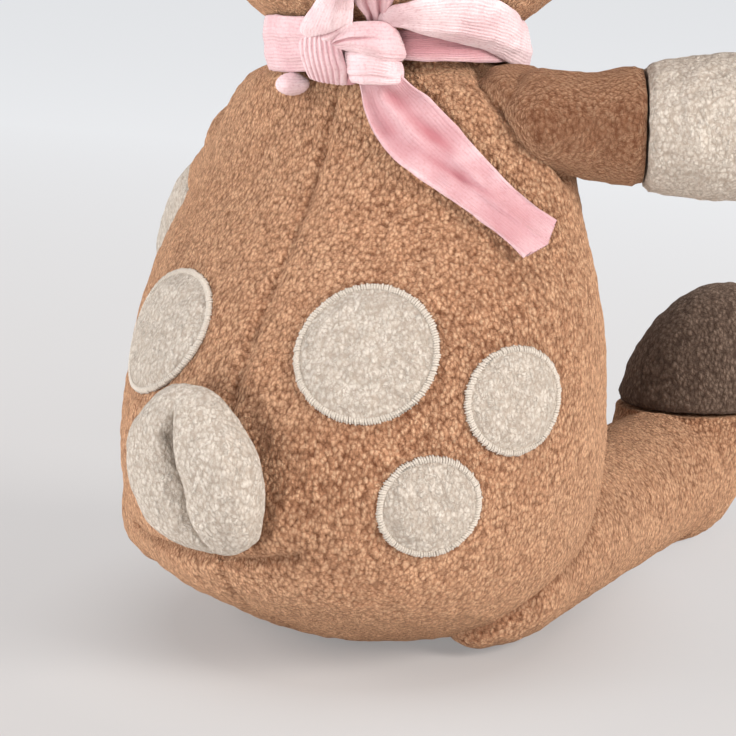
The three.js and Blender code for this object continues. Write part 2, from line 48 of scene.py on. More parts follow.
# Body: rows of height share, half width share, half depth share and how far back, as a half depth share
TORSO = {"height": 174 * MM, "width": 142 * MM, "depth": 138 * MM}
TORSO_SHARES = np.array([
    [-0.003, 0.3, 0.28, -0.14],
    [0.02, 0.52, 0.5, -0.12],
    [0.07, 0.74, 0.72, -0.1],
    [0.15, 0.88, 0.93, -0.02],
    [0.25, 0.95, 1, 0],
    [0.36, 0.98, 0.98, 0],
    [0.48, 0.985, 0.87, -0.02],
    [0.6, 0.955, 0.69, -0.05],
    [0.72, 0.86, 0.52, -0.12],
    [0.82, 0.78, 0.45, -0.19],
    [0.895, 0.67, 0.42, -0.23],
    [0.935, 0.44, 0.41, -0.245],
    [1, 0.4, 0.41, -0.246],
])
NECK_Y = -17 * MM
NECK = {"low": 146 * MM, "high": 170 * MM, "radius": 27 * MM}
HEAD = {
    "centre": np.array([0, NECK_Y, 224.5 * MM]), "radius": 64 * MM,
    "cheek_share": 0.035, "chin_share": 0.968}
# Face: places from the head's centre, half sizes, and the eyes' and ears' angles in degrees
MUZZLE = {"place": np.array([0, -57, -15]) * MM, "halves": np.array([27, 24, 19]) * MM}
NOSE = {"place": np.array([0, -78, -6]) * MM, "halves": np.array([8.5, 5, 5.5]) * MM}
EYE = {"turn": 26, "lift": 9, "sunk": 1 * MM, "halves": np.array([4.8, 6, 3.2]) * MM}
EAR = {"place": 52, "tilt": 66, "sunk": 1.5 * MM, "length": 57 * MM, "width": 33 * MM}
ARM = {"root": 15.4 * MM, "end": 19.5 * MM, "length": 84 * MM, "wrist": 27 * MM}
# The right sleeve, and the body round its root, are painted darker as shade by the amount given in its pose,
# which also raises the body there.
ARM_POSES = {
    "right": {
        "side": -1, "shoulder": np.array([-49, -13, 146]) * MM, "heading": 58, "droop": 0, "pressed_shade": 1.0,
        "seam": np.array([-49.5, -2.1, 146.2]) * MM, "seam_way": np.array([0.572, 0.554, -0.605])},
    "left": {
        "side": 1, "shoulder": np.array([47, -13, 134]) * MM, "heading": 52, "droop": 36, "pressed_shade": 0,
        "seam": np.array([44, -8, 132]) * MM, "seam_way": np.array([-0.6, 0.5, -0.1])},
}
# The arm's thickness: rows of how far along it and its radius, in millimetres
ARM_ROWS = [[2, 15.3], [8, 14.9], [15, 14.9], [21, 15.9], [27, 16.7], [34, 18.2], [44, 19.3], [60, 19.5]]
LEG = {"radius": 22 * MM, "hip": np.array([40, -10, 21.5]) * MM}
FOOT = {"half_width": 25 * MM, "half_depth": 21 * MM, "half_height": 42 * MM}
LEG_POSES = {
    "right": {"side": -1, "foot": np.array([-34, -134, 0]) * MM, "tilt": -14},
    "left": {"side": 1, "foot": np.array([26, -143, 0]) * MM, "tilt": 4},
}
RIB_PITCH = 0.85 * MM
FLOOR_GAP = 0.1 * MM

VIEW = {
    "azimuth": 214, "elevation": 13, "distance": 600 * MM, "look_at": (0, -2 * MM, 75 * MM),
    "lens": 102.7, "sensor": 36}
FLOOR = {
    "half": 4.0, "plain": (0.8, 0.785, 0.77, 1), "painted_shadow": (0.5, 0.47, 0.45, 1), "edge": (0.055, 0.105),
    "near_glow": (0.6, 0.57, 0.56, 1), "far_glow": (0.9, 0.915, 0.94, 1), "glow_shares": (0.4, 0.76)}
SKY = {"colour": (0.95, 0.96, 1.0, 1), "strength": 0.42}
# Lights: name, place, size, power and colour
LIGHTS = (
    ("key", (-1.55, -0.1, 0.82), 0.7, 37, (1, 0.97, 0.94)),
    ("fill", (1.15, 0.95, 0.75), 0.9, 23, (0.98, 0.99, 1)),
    ("low", (-0.15, 1.25, 0.08), 0.6, 13, (1, 0.98, 0.96)),
)
LIGHTS_AIM = (0, 0, 0.1)

# The dark tones paint shade in crevices, seams and folds. The light tones give random tone, and on the
# fleeces they paint highlights on the tuft tips.
COLOURS = {
    "fleece": (199, 146, 111),
    "fleece_dark": (90, 48, 27),
    "fleece_light": (233, 189, 153),
    "cream": (196, 185, 173),
    "cream_dark": (154, 141, 128),
    "cream_light": (212, 203, 192),
    "hoof": (108, 90, 78),
    "hoof_dark": (66, 52, 44),
    "hoof_light": (136, 117, 103),
    "pink": (208, 176, 179),
    "pink_dark": (168, 106, 112),
    "pink_light": (230, 207, 209),
    "thread": (196, 186, 174),
    "dark_thread": (52, 36, 30),
}


# Small tools for shapes and noise

def unit(vectors):
    vectors = np.asarray(vectors, float)
    return vectors / np.maximum(np.linalg.norm(vectors, axis=-1, keepdims=True), 1e-12)


def direction(turn, lift):
    """The way that is turned from the front towards +X, and lifted, both in degrees."""
    turn, lift = math.radians(turn), math.radians(lift)
    return np.array([math.sin(turn) * math.cos(lift), -math.cos(turn) * math.cos(lift), math.sin(lift)])


def catmull(rows, count):
    """Count points on the smooth curve through the rows, evenly spread over the rows."""
    rows = np.asarray(rows, float)
    place = np.linspace(0, len(rows) - 1, count)
    k = np.minimum(place.astype(int), len(rows) - 2)
    t = (place - k)[:, None]
    before, start = rows[np.maximum(k - 1, 0)], rows[k]
    end, after = rows[k + 1], rows[np.minimum(k + 2, len(rows) - 1)]
    leave, arrive = (end - before) / 2, (after - start) / 2
    cubic = (2 * start - 2 * end + leave + arrive) * t ** 3
    square = (-3 * start + 3 * end - 2 * leave - arrive) * t ** 2
    return cubic + square + leave * t + start


def even(points, count):
    """The same path with its points at equal distances."""
    steps = np.linalg.norm(np.diff(points, axis=0), axis=1)
    reach = np.concatenate([[0], np.cumsum(steps)])
    places = np.linspace(0, reach[-1], count)
    return np.stack([np.interp(places, reach, points[:, k]) for k in range(points.shape[1])], -1)


def turns(sides):
    """Evenly spread angles round a ring."""
    return np.linspace(0, 2 * np.pi, sides, endpoint=False)


def bell(distance, width):
    return np.exp(-(distance / width) ** 2)


def ramp(value, low, high):
    t = np.clip((value - low) / (high - low), 0, 1)
    return t * t * (3 - 2 * t)


def hashed(cells, salt):
    """A repeatable number from 0 to 1 for each cell of whole numbers."""
    x, y, z = (cells[..., k].astype(np.int64) for k in range(3))
    n = (x * 73856093) ^ (y * 19349663) ^ (z * 83492791) ^ ((salt + 1) * 15485863)
    n = ((n ^ (n >> 13)) * 1274126177) & 0xFFFFFFFF
    n = ((n ^ (n >> 16)) * 2246822519) & 0xFFFFFFFF
    return ((n ^ (n >> 13)) & 0xFFFFFF) / 0xFFFFFF


def swells(points, size, salt=0):
    """Smooth noise from -1 to 1 with swells of about that size."""
    scaled = points.reshape(-1, 3) / size
    cell = np.floor(scaled)
    t = scaled - cell
    t = t * t * (3 - 2 * t)
    total = np.zeros(len(scaled))
    for step in itertools.product((0, 1), repeat=3):
        weight = np.prod(np.where(step, t, 1 - t), axis=1)
        total += weight * hashed(cell + step, salt)
    return (2 * total - 1).reshape(points.shape[:-1])


# Surfaces as grids of rings

def ring_normals(rings):
    """Outward normals of a closed grid of rings."""
    around = np.roll(rings, -1, 1) - np.roll(rings, 1, 1)
    along = np.gradient(rings, axis=0)
    normals = unit(np.cross(around, along))
    out = rings - rings.mean(1, keepdims=True)
    turned = np.sum(normals * out, -1).mean() < 0
    return -normals if turned else normals


def lifted(rings, out):
    """The rings moved outwards, each point by its own distance."""
    return rings + ring_normals(rings) * out[..., None]


def ring_faces(rows, sides, first):
    """Faces of one grid of rings whose points are numbered from first, with a pole before and after them."""
    ring = np.arange(rows * sides).reshape(rows, sides) + first + 1
    step = np.roll(ring, -1, 1)
    quads = np.stack([ring[:-1], step[:-1], step[1:], ring[1:]], -1).reshape(-1, 4)
    start = np.stack([np.full(sides, first), step[0], ring[0]], -1)
    end = np.stack([np.full(sides, first + rows * sides + 1), ring[-1], step[-1]], -1)
    return quads, np.concatenate([start, end])


def build(name, grids, material, attributes=None):
    """One mesh object from closed grids of rings, each with a value per point for every attribute."""
    points, quads, tris = [], [], []
    values = {key: [] for key in (attributes or {})}
    first = 0
    for index, rings in enumerate(grids):
        rows, sides = rings.shape[:2]
        points += [rings[0].mean(0)[None], rings.reshape(-1, 3), rings[-1].mean(0)[None]]
        grid_quads, grid_tris = ring_faces(rows, sides, first)
        middle = rings.mean((0, 1))
        flat = np.concatenate(points[-3:]) - middle
        corners = flat[grid_quads - first]
        volume = np.sum(corners[:, 0] * np.cross(corners[:, 1], corners[:, 2]))
        volume += np.sum(corners[:, 0] * np.cross(corners[:, 2], corners[:, 3]))
        if volume < 0:
            grid_quads, grid_tris = grid_quads[:, ::-1], grid_tris[:, ::-1]
        quads.append(grid_quads)
        tris.append(grid_tris)
        for key, fields in (attributes or {}).items():
            field = fields[index]
            values[key] += [[field[0].mean()], field.ravel(), [field[-1].mean()]]
        first += rows * sides + 2
    points, quads, tris = np.concatenate(points), np.concatenate(quads), np.concatenate(tris)
    mesh = bpy.data.meshes.new(name)
    mesh.vertices.add(len(points))
    mesh.vertices.foreach_set("co", points.astype(np.float32).ravel())
    mesh.loops.add(quads.size + tris.size)
    mesh.loops.foreach_set("vertex_index", np.concatenate([quads.ravel(), tris.ravel()]).astype(np.int32))
    starts = np.concatenate([np.arange(len(quads)) * 4, quads.size + np.arange(len(tris)) * 3])
    mesh.polygons.add(len(starts))
    mesh.polygons.foreach_set("loop_start", starts.astype(np.int32))
    mesh.update(calc_edges=True)
    mesh.shade_smooth()
    for key, parts in values.items():
        attribute = mesh.attributes.new(key, "FLOAT", "POINT")
        attribute.data.foreach_set("value", np.concatenate(parts).astype(np.float32))
    mesh.materials.append(material)
    piece = bpy.data.objects.new(name, mesh)
    bpy.context.scene.collection.objects.link(piece)
    return piece


def fleece(rings, relief=0.45 * MM, swell=0.4 * MM, salt=0):
    """The rings with uneven pile on, and each point's painted shade value: lower in the pile's hollows,
    higher on its swells.
    """
    fine = swells(rings, 2.3 * MM, salt) + 0.6 * swells(rings, 4.3 * MM, salt + 7)
    soft = swells(rings, 13 * MM, salt) + 0.5 * swells(rings, 6 * MM, salt + 3)
    return lifted(rings, relief * 0.6 * fine + swell * soft), np.clip(0.72 + 0.2 * fine, 0, 1)


def profile_rings(path, radii, ahead, aside, sides):
    """Round rings about the points of a path that runs ahead."""
    over = unit(np.cross(aside, ahead))
    turn = turns(sides)
    circle = np.cos(turn)[:, None] * aside + np.sin(turn)[:, None] * over
    return path[:, None] + radii[:, None, None] * circle[None]


def threads(name, paths, radius, material, sides=6):
    """Short round threads along many paths, as one piece."""
    grids = []
    turn = turns(sides)[None, :, None]
    for path in paths:
        along = unit(np.gradient(path, axis=0))
        first = unit(np.cross(along, [0.31, 0.52, 0.8]))
        second = np.cross(along, first)
        thick = radius * np.minimum(1, 0.55 + np.arange(len(path)))
        thick = np.minimum(thick, thick[::-1])[:, None, None]
        circle = np.cos(turn) * first[:, None] + np.sin(turn) * second[:, None]
        grids.append(path[:, None] + thick * circle)
    return build(name, grids, material)


# The body's skin

TABLE = catmull(TORSO_SHARES, 900)
TABLE_Z = TABLE[:, 0] * TORSO["height"]


def section_at(height):
    """Half width, half depth and middle of the body's section at a height."""
    wide = np.interp(height, TABLE_Z, TABLE[:, 1]) * TORSO["width"] / 2
    deep = np.interp(height, TABLE_Z, TABLE[:, 2]) * TORSO["depth"] / 2
    middle = np.interp(height, TABLE_Z, TABLE[:, 3]) * TORSO["depth"] / 2
    return wide, deep, middle


def torso_field(points):
    """Below 0 inside the body, 0 on its skin."""
    wide, deep, middle = section_at(points[..., 2])
    return np.hypot(points[..., 0] / wide, (points[..., 1] - middle) / deep) - 1


def torso_slope(points):
    step = 0.2 * MM
    return np.stack([
        (torso_field(points + step * e) - torso_field(points - step * e)) / (2 * step) for e in np.eye(3)
    ], -1)


def on_torso(points, out=0.0):
    """The nearest places on the body's skin, lifted outwards, and the directions out of it there."""
    points = np.asarray(points, float)
    for _ in range(5):
        slope = torso_slope(points)
        share = torso_field(points) / np.maximum(np.sum(slope * slope, -1), 1e-9)
        points = points - slope * share[..., None]
    normals = unit(torso_slope(points))
    return points + normals * np.asarray(out)[..., None], normals


def from_torso(points):
    """About how far each point is outside the body's skin."""
    slope = torso_slope(points)
    return torso_field(points) / np.maximum(np.linalg.norm(slope, axis=-1), 1e-9)


def back_place(around, height):
    """The place on the skin at an angle from the middle of the back, towards -X, and a height."""
    wide, deep, middle = section_at(height)
    angle = math.radians(around)
    return np.array([-wide * math.sin(angle), middle + deep * math.cos(angle), height])


def path_distance(points, path):
    """How far each point is from a path of straight stretches."""
    nearest = np.full(points.shape[:-1], 9.0)
    for start, end in zip(path[:-1], path[1:]):
        line = end - start
        t = np.clip((points - start) @ line / (line @ line), 0, 1)
        nearest = np.minimum(nearest, np.linalg.norm(points - start - t[..., None] * line, axis=-1))
    return nearest


def limb_axis(pose):
    """The way an arm points from its shoulder."""
    return direction(pose["side"] * pose["heading"], -pose["droop"])


def arm_behind(points, pose):
    """How far each point is behind the slanting seam that joins an arm to the body."""
    return (points - pose["seam"]) @ pose["seam_way"]


# Materials

def linear(colour):
    shares = np.array(COLOURS[colour]) / 255
    return (*np.where(shares <= 0.04045, shares / 12.92, ((shares + 0.055) / 1.055) ** 2.4), 1)


def tones(family):
    """The dark, plain and light colour of a fabric."""
    return (linear(name) for name in (f"{family}_dark", family, f"{family}_light"))


class Nodes:
    """Adds and links the nodes of one new material, whose uniform values are set on its shader."""

    def __init__(self, name, uniform):
        self.material = bpy.data.materials.new(name)
        self.material.use_nodes = True
        self.tree = self.material.node_tree
        self.shader = self.tree.nodes["Principled BSDF"]
        for key, value in uniform.items():
            self.shader.inputs[key].default_value = value
        self.place = self.add("ShaderNodeTexCoord").outputs["Object"]

    def add(self, kind, inputs=None, **settings):
        node = self.tree.nodes.new(kind)
        for key, value in settings.items():
            setattr(node, key, value)
        for key, value in (inputs or {}).items():
            if isinstance(value, bpy.types.NodeSocket):
                self.tree.links.new(value, node.inputs[key])
            else:
                node.inputs[key].default_value = value
        return node

    def link(self, output, key):
        self.tree.links.new(output, self.shader.inputs[key])

    def mix(self, share, first, second):
        return self.add("ShaderNodeMix", {0: share, 6: first, 7: second}, data_type="RGBA").outputs[2]

    def math(self, operation, first, second=0.0):
        return self.add("ShaderNodeMath", {0: first, 1: second}, operation=operation).outputs[0]

    def vector(self, operation, inputs):
        return self.add("ShaderNodeVectorMath", inputs, operation=operation).outputs

    def stretch(self, value, low, high, to_low, to_high):
        inputs = {"Value": value, "From Min": low, "From Max": high, "To Min": to_low, "To Max": to_high}
        return self.add("ShaderNodeMapRange", inputs).outputs[0]

    def noise(self, scale, detail, output="Fac", place=None, distortion=0.0):
        place = self.place if place is None else place
        inputs = {"Vector": place, "Scale": scale, "Detail": detail, "Distortion": distortion}
        return self.add("ShaderNodeTexNoise", inputs).outputs[output]

    def attribute(self, name):
        return self.add("ShaderNodeAttribute", attribute_name=name).outputs["Fac"]

    def bump(self, strength, distance, height):
        inputs = {"Strength": strength, "Distance": distance, "Height": height}
        self.link(self.add("ShaderNodeBump", inputs).outputs[0], "Normal")


def fleece_material(name, family, tuft, depth, lump, curl=0.35, sheen=0.9):
    """Pile fabric: tufts on soft lumps, with loose fibres and wavy partings; shade is painted in the
    crevices and partings and from the mesh's shade value, and highlights on the tuft tips.
    """
    dark, plain, light = tones(family)
    n = Nodes(name, {
        "Sheen Weight": sheen, "Sheen Roughness": 0.45, "Sheen Tint": light, "Specular IOR Level": 0.1})
    sway = n.vector("SUBTRACT", {0: n.noise(0.9 / tuft, 2, "Color"), 1: (0.5, 0.5, 0.5)})[0]
    shift = n.vector("SCALE", {0: sway, "Scale": 1.1 * tuft})[0]
    moved = n.vector("ADD", {0: n.place, 1: shift})[0]
    squeezed = n.add("ShaderNodeMapping", {"Vector": moved, "Scale": (1, 1, 0.68)}).outputs[0]
    cells = n.add("ShaderNodeTexVoronoi", {"Vector": squeezed, "Scale": 1 / tuft}).outputs
    tall = n.stretch(cells["Color"], 0.25, 0.75, 0.7, 1.3)
    tufts = n.math("MULTIPLY", n.stretch(cells["Distance"], 0.05, 0.85, 1, 0), tall)
    fibres = n.noise(3.4 / tuft, 2)
    waves = n.noise(0.42 / tuft, 1.5, place=squeezed, distortion=1.3)
    parting = n.math("ABSOLUTE", n.math("SUBTRACT", waves, 0.5))
    parted = n.stretch(parting, 0, 0.035, 1 - curl, 1)
    pile = n.math("ADD", n.math("MULTIPLY", tufts, 0.75), n.math("MULTIPLY", fibres, 0.5))
    height = n.math("MULTIPLY", pile, parted)
    mounds = n.noise(0.24 / tuft, 1)
    relief = n.math("ADD", height, n.math("MULTIPLY", mounds, lump / depth))
    base = n.mix(n.stretch(n.noise(60, 3), 0.35, 0.65, 0, 0.2), plain, light)
    # Painted shade where the pile is low, painted highlights on the tuft tips, then painted shade from the
    # mesh's value.
    low = n.mix(n.stretch(height, 0.18, 0.7, 1, 0), base, dark)
    tipped = n.mix(n.stretch(height, 0.62, 0.98, 0, 0.95), low, light)
    n.link(n.mix(n.stretch(n.attribute("tone_and_shade"), 0, 1, 0.75, 0), tipped, dark), "Base Color")
    n.link(n.stretch(height, 0, 1, 1, 0.85), "Roughness")
    n.bump(1.0, depth, relief)
    return n.material


def jersey_material(name, family, rib):
    """Fine ribbed knit: ribs follow the across value of each point; shade is painted in the dips of the ribs
    and loops, and on folds and creases towards a deeper pink.
    """
    dark, plain, light = tones(family)
    n = Nodes(name, {"Sheen Weight": 0.2, "Specular IOR Level": 0.15})
    turned = n.math("MULTIPLY", n.attribute("across"), 2 * math.pi / rib)
    phase = n.math("ADD", turned, n.math("MULTIPLY", n.noise(160, 2), 7))
    ribs = n.stretch(n.math("SINE", phase), -1, 1, 0, 1)
    loops = n.noise(1300, 3)
    height = n.math("ADD", n.math("MULTIPLY", ribs, 0.45), n.math("MULTIPLY", loops, 0.55))
    base = n.mix(n.stretch(n.noise(110, 4), 0.32, 0.68, 0, 1), light, plain)
    # Painted shade in the loop and rib dips, then the mesh's painted shade.
    speckled = n.mix(n.stretch(loops, 0.3, 0.5, 0.3, 0), base, dark)
    ribbed = n.mix(n.stretch(ribs, 0, 0.5, 0.13, 0), speckled, dark)
    n.link(n.mix(n.stretch(n.attribute("tone_and_shade"), 0, 1, 1, 0), ribbed, dark), "Base Color")
    n.link(n.stretch(height, 0, 1, 0.95, 0.8), "Roughness")
    n.bump(0.8, 0.3 * MM, height)
    return n.material


def thread_material(name, colour, shade, gloss):
    """Twisted sewing thread, with its fine strands in the bump."""
    n = Nodes(name, {"Sheen Weight": 0.2})
    strands = n.noise(3000, 2)
    n.link(n.mix(n.stretch(strands, 0.35, 0.65, 0.5, 0), linear(colour), linear(shade)), "Base Color")
    n.link(n.stretch(strands, 0.3, 0.7, gloss + 0.1, gloss - 0.05), "Roughness")
    n.bump(0.5, 0.1 * MM, strands)
    return n.material


FLEECE = fleece_material("fawn_fleece", "fleece", 0.98 * MM, 1.2 * MM, 0.5 * MM)
CREAM = fleece_material("cream_fleece", "cream", 0.95 * MM, 0.5 * MM, 2.4 * MM, 0.5, 0.35)
HOOF = fleece_material("taupe_fleece", "hoof", 1.1 * MM, 0.8 * MM, 0.4 * MM)
JERSEY = jersey_material("pink_jersey", "pink", RIB_PITCH)
THREAD = thread_material("cream_thread", "thread", "cream_dark", 0.7)
DARK_THREAD = thread_material("dark_thread", "dark_thread", "hoof_dark", 0.45)


def finish_piece(piece, body, slot, *nodes, fill=None):
    """Every piece rides on a body and stands for its nodes, which it hides; its slot is not used."""
    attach(piece, body)
    if nodes:
        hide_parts(*nodes)


# Body

def skin_line(stops, count=40):
    """A line on the skin through stops of angle from the back's middle and height."""
    places = np.array([back_place(around, height * MM) for around, height in stops])
    return on_torso(even(catmull(places, 8 * len(stops)), count))[0]


BACK_SEAM = skin_line([(0, 163), (0, 150), (0, 120), (0, 90), (0, 60), (0, 37), (0, 20), (0, 6)])
DARTS = (
    on_torso(catmull(np.array([[43.5, 49, 33.5], [33, 57, 34], [20, 63, 35], [0, 68, 37]]) * MM, 24))[0],
    on_torso(catmull(np.array([[0, 68, 37], [-8, 68, 37.5], [-15, 67, 38.5], [-23, 65, 40.5]]) * MM, 24))[0],
)
DART_CORNER = (-57, 28 * MM)
ARM_CREASE = np.array([
    [-31.4, -9.2, 161.7], [-36.8, -1.9, 158.2], [-42, 0.4, 153.4], [-47.2, -1.3, 148.8],
    [-52.3, -3.3, 143.1], [-56.3, -6.6, 138.2], [-58.6, -10.3, 133.4]]) * MM


def torso_grooves(points):
    """How deep the seams, darts, spot edges and arm roots sit in the skin at each point, and how much shade
    is painted there.
    """
    seam = path_distance(points, BACK_SEAM)
    depth = 1.2 * MM * bell(seam, 1.4 * MM)
    # Painted shade in the seam, the darts and the arm crease, where their grooves would be in shade.
    dark = 0.8 * bell(seam, 0.7 * MM) * ramp(swells(points, 6 * MM, 5), -0.6, 0.2)
    for dart, strength in zip(DARTS, (2.8, 1.8)):
        away = path_distance(points, dart)
        depth += strength * MM * bell(away, 1.5 * MM)
        dark = np.maximum(dark, bell(away, 1.4 * MM))
    crease = path_distance(points, ARM_CREASE)
    depth += 2 * MM * bell(crease, 2 * MM)
    dark = np.maximum(dark, bell(crease, 1.4 * MM))
    for pose in ARM_POSES.values():
        axis = limb_axis(pose)
        along = np.maximum((points - pose["shoulder"]) @ axis, 0)
        off = np.linalg.norm(points - pose["shoulder"] - along[..., None] * axis, axis=-1)
        joined = ramp(arm_behind(points, pose), 0.5 * MM, -1.5 * MM) * ramp(off, 27 * MM, 20 * MM)
        raised = joined * ramp(off, 24 * MM, 16 * MM) * ramp(points[..., 2], 134 * MM, 145 * MM)
        depth -= 2.8 * MM * raised * (pose["pressed_shade"] > 0)
        # Painted shade on the body round the root of the shaded right arm.
        dark = np.maximum(dark, pose["pressed_shade"] * joined)
    for spot in SPOTS.values():
        centre = back_place(spot["around"], spot["height"] * MM)
        share = np.linalg.norm(points - centre, axis=-1) / ((spot["width"] + spot["tall"]) / 4 * MM)
        depth += 1.1 * MM * ramp(share, 1.02, 0.85)
        # Painted shade just outside each spot's raised edge.
        dark = np.maximum(dark, 0.45 * bell(share - 1.06, 0.05))
    return depth, dark


def torso_piece():
    rows, columns = 232, 430
    facing, closer = math.radians(124), 0.25
    halves = (TABLE[:, 1] * TORSO["width"] + TABLE[:, 2] * TORSO["depth"]) / 4
    heights = even(np.stack([halves, TABLE_Z], -1), rows)[:, 1]
    turn = turns(columns)
    turn = turn - closer * np.sin(turn - facing)
    wide, deep, middle = (part[:, None] for part in section_at(heights))
    height = np.broadcast_to(heights[:, None], (rows, columns))
    rings = np.stack([wide * np.cos(turn), middle + deep * np.sin(turn), height], -1)
    centre = rings[0].mean(0)
    seat = centre + np.linspace(0.1, 0.92, 9)[:, None, None] * (rings[0] - centre)
    rings = np.concatenate([seat, rings])
    depth, dark = torso_grooves(rings)
    corner = back_place(*DART_CORNER)
    depth = depth - 6 * MM * bell(np.linalg.norm(rings - corner, axis=-1), 12 * MM)
    rings, tone_and_shade = fleece(lifted(rings, -depth))
    rings[..., 2] = np.maximum(rings[..., 2], FLOOR_GAP)
    # The painted shade of the grooves deepens the pile's painted shade.
    piece = build("body_cover", [rings], FLEECE, {"tone_and_shade": [np.clip(tone_and_shade * (1 - dark), 0, 1)]})
    nodes = ("torso_back_right", "torso_back_left", "torso_front", "torso_stuffing")
    finish_piece(piece, "torso", "fleece", *nodes, fill=0.85)


# Spots: fleece rounds with a ring of zigzag stitches over their edges

SPOTS = {
    "large": {"around": 27.5, "height": 92.5, "width": 38.6, "tall": 38, "lean": 0},
    "upper": {"around": 66, "height": 79.5, "width": 30, "tall": 28.4, "lean": 0},
    "lower": {"around": 48.5, "height": 54, "width": 28.4, "tall": 27, "lean": 0},
    "left": {"around": -31, "height": 90.5, "width": 41, "tall": 36.6, "lean": 15},
}


def spot_places(spot, radius, turn):
    """Places on the flat cut of a spot, at shares of its radius and angles round it, laid on the skin."""
    centre = back_place(spot["around"], spot["height"] * MM)
    _, normal = on_torso(centre[None])
    normal = normal[0]
    across = unit(np.cross(UP, normal))
    upward = np.cross(normal, across)
    lean = math.radians(spot["lean"])
    a = spot["width"] / 2 * MM * radius * np.cos(turn)
    b = spot["tall"] / 2 * MM * radius * np.sin(turn)
    a, b = a * math.cos(lean) - b * math.sin(lean), a * math.sin(lean) + b * math.cos(lean)
    return centre + a[..., None] * across + b[..., None] * upward


def spot_piece(name, spot, salt):
    """One spot and the ring of stitches over its edge."""
    rows = 46
    radius = np.concatenate([np.linspace(0.02, 1, rows), np.linspace(0.98, 0.1, 5)])
    top = np.arange(len(radius)) < rows
    grid_radius, grid_turn = np.meshgrid(radius, turns(220), indexing="ij")
    flat = spot_places(spot, grid_radius, grid_turn)
    rim = 1.9 * MM / (spot["width"] / 2 * MM)
    puff = 1.3 * MM * ramp(grid_radius, 1 - 0.55 * rim, 1 - 3.2 * rim) ** 0.8
    out = np.where(top[:, None], 0.45 * MM + puff, -1.2 * MM)
    rings = on_torso(flat, out)[0]
    inside = ramp(grid_radius, 1 - rim, 1 - 2 * rim)
    pile = 0.3 * MM * swells(flat, 1.7 * MM, salt) + 0.35 * MM * swells(flat, 4 * MM, salt + 1)
    rings = lifted(rings, pile * inside)
    # Painted shade in a band round the spot's edge, under the stitches; the tone of the rest varies at
    # random.
    dark = 0.5 * bell(grid_radius - 1 + rim, 0.25 * rim) * ramp(swells(flat, 1.2 * MM, salt + 4), -0.5, 0.3)
    tone_and_shade = np.clip(0.65 + 0.25 * swells(flat, 2.2 * MM, salt + 2), 0, 1)
    piece = build(f"spot_{name}", [rings], CREAM, {"tone_and_shade": [tone_and_shade * (1 - dark)]})
    finish_piece(piece, "torso", "cream", f"spot_{name}")
    count = int(np.pi * (spot["width"] + spot["tall"]) / 2 / 0.72)
    steps = np.arange(count)
    cells = np.stack([steps] * 3, -1)
    angles = (steps + 0.25 * (hashed(cells, salt) - 0.5)) * 2 * np.pi / count
    ends = hashed(cells, salt + 9) * 0.5 * MM
    share = np.linspace(0, 1, 6)
    arch = np.array([0.0, 0.38, 0.46, 0.44, 0.25, -0.25]) * MM
    paths = []
    for angle, end in zip(angles, ends):
        reach = 1 - rim * 0.85 + share * (rim * 0.85 + end / (spot["width"] / 2 * MM))
        lean = angle + (share - 0.5) * 0.5 * 2 * np.pi / count
        paths.append(on_torso(spot_places(spot, reach, lean), 0.25 * MM + arch)[0])
    ring = threads(f"stitches_{name}", paths, 0.34 * MM, THREAD)
    finish_piece(ring, "torso", "cream")


# Head

def head_rings(rows, sides):
    radius = HEAD["radius"]
    latitude = np.linspace(-np.pi / 2 + 0.02, np.pi / 2 - 0.02, rows)[:, None]
    turn = turns(sides)[None]
    across = radius * np.cos(latitude)
    wide = across * (1 + HEAD["cheek_share"] * np.cos(latitude) ** 6)
    height = np.broadcast_to(radius * np.sin(latitude), (rows, sides))
    height = np.where(height < 0, height * HEAD["chin_share"], height)
    return HEAD["centre"] + np.stack([wide * np.cos(turn), across * np.sin(turn), height], -1)


def head_piece():
    rings = head_rings(210, 440)
    seam = np.abs(rings[..., 0])
    rings, tone_and_shade = fleece(lifted(rings, -0.6 * MM * bell(seam, 1.2 * MM)), salt=20)
    # Painted shade along the head's seam.
    dark = 0.6 * bell(seam, 0.6 * MM)
    piece = build("head_cover", [rings], FLEECE, {"tone_and_shade": [tone_and_shade * (1 - dark)]})
    finish_piece(piece, "head", "fleece", "head_right", "head_left", "head_stuffing", fill=0.85)


def neck_piece():
    """The short fleece neck under the ribbon."""
    path = np.array([[0, NECK_Y, height] for height in np.linspace(NECK["low"], NECK["high"], 30)])
    radii = np.full(len(path), NECK["radius"])
    rings, tone_and_shade = fleece(profile_rings(path, radii, UP, np.array([1.0, 0, 0]), 120), salt=24)
    piece = build("neck_cover", [rings], FLEECE, {"tone_and_shade": [tone_and_shade]})
    finish_piece(piece, "neck", "fleece", "neck_stuffing")


def ball_rings(centre, halves, rotation, rows, sides):
    """An egg of given half sizes, whose own axes are the rows of a rotation."""
    latitude = np.linspace(-np.pi / 2 + 0.05, np.pi / 2 - 0.05, rows)[:, None]
    turn = turns(sides)[None]
    x, y = np.cos(latitude) * np.cos(turn), np.cos(latitude) * np.sin(turn)
    z = np.broadcast_to(np.sin(latitude), (rows, sides))
    local = np.stack([halves[0] * x, halves[1] * y, halves[2] * z], -1)
    return centre + local @ np.asarray(rotation)


def facing_axes(out):
    """Rows: across, upwards and out, for something that lies on a surface with that way out."""
    across = unit(np.cross(UP, out))
    return np.stack([across, np.cross(out, across), out])


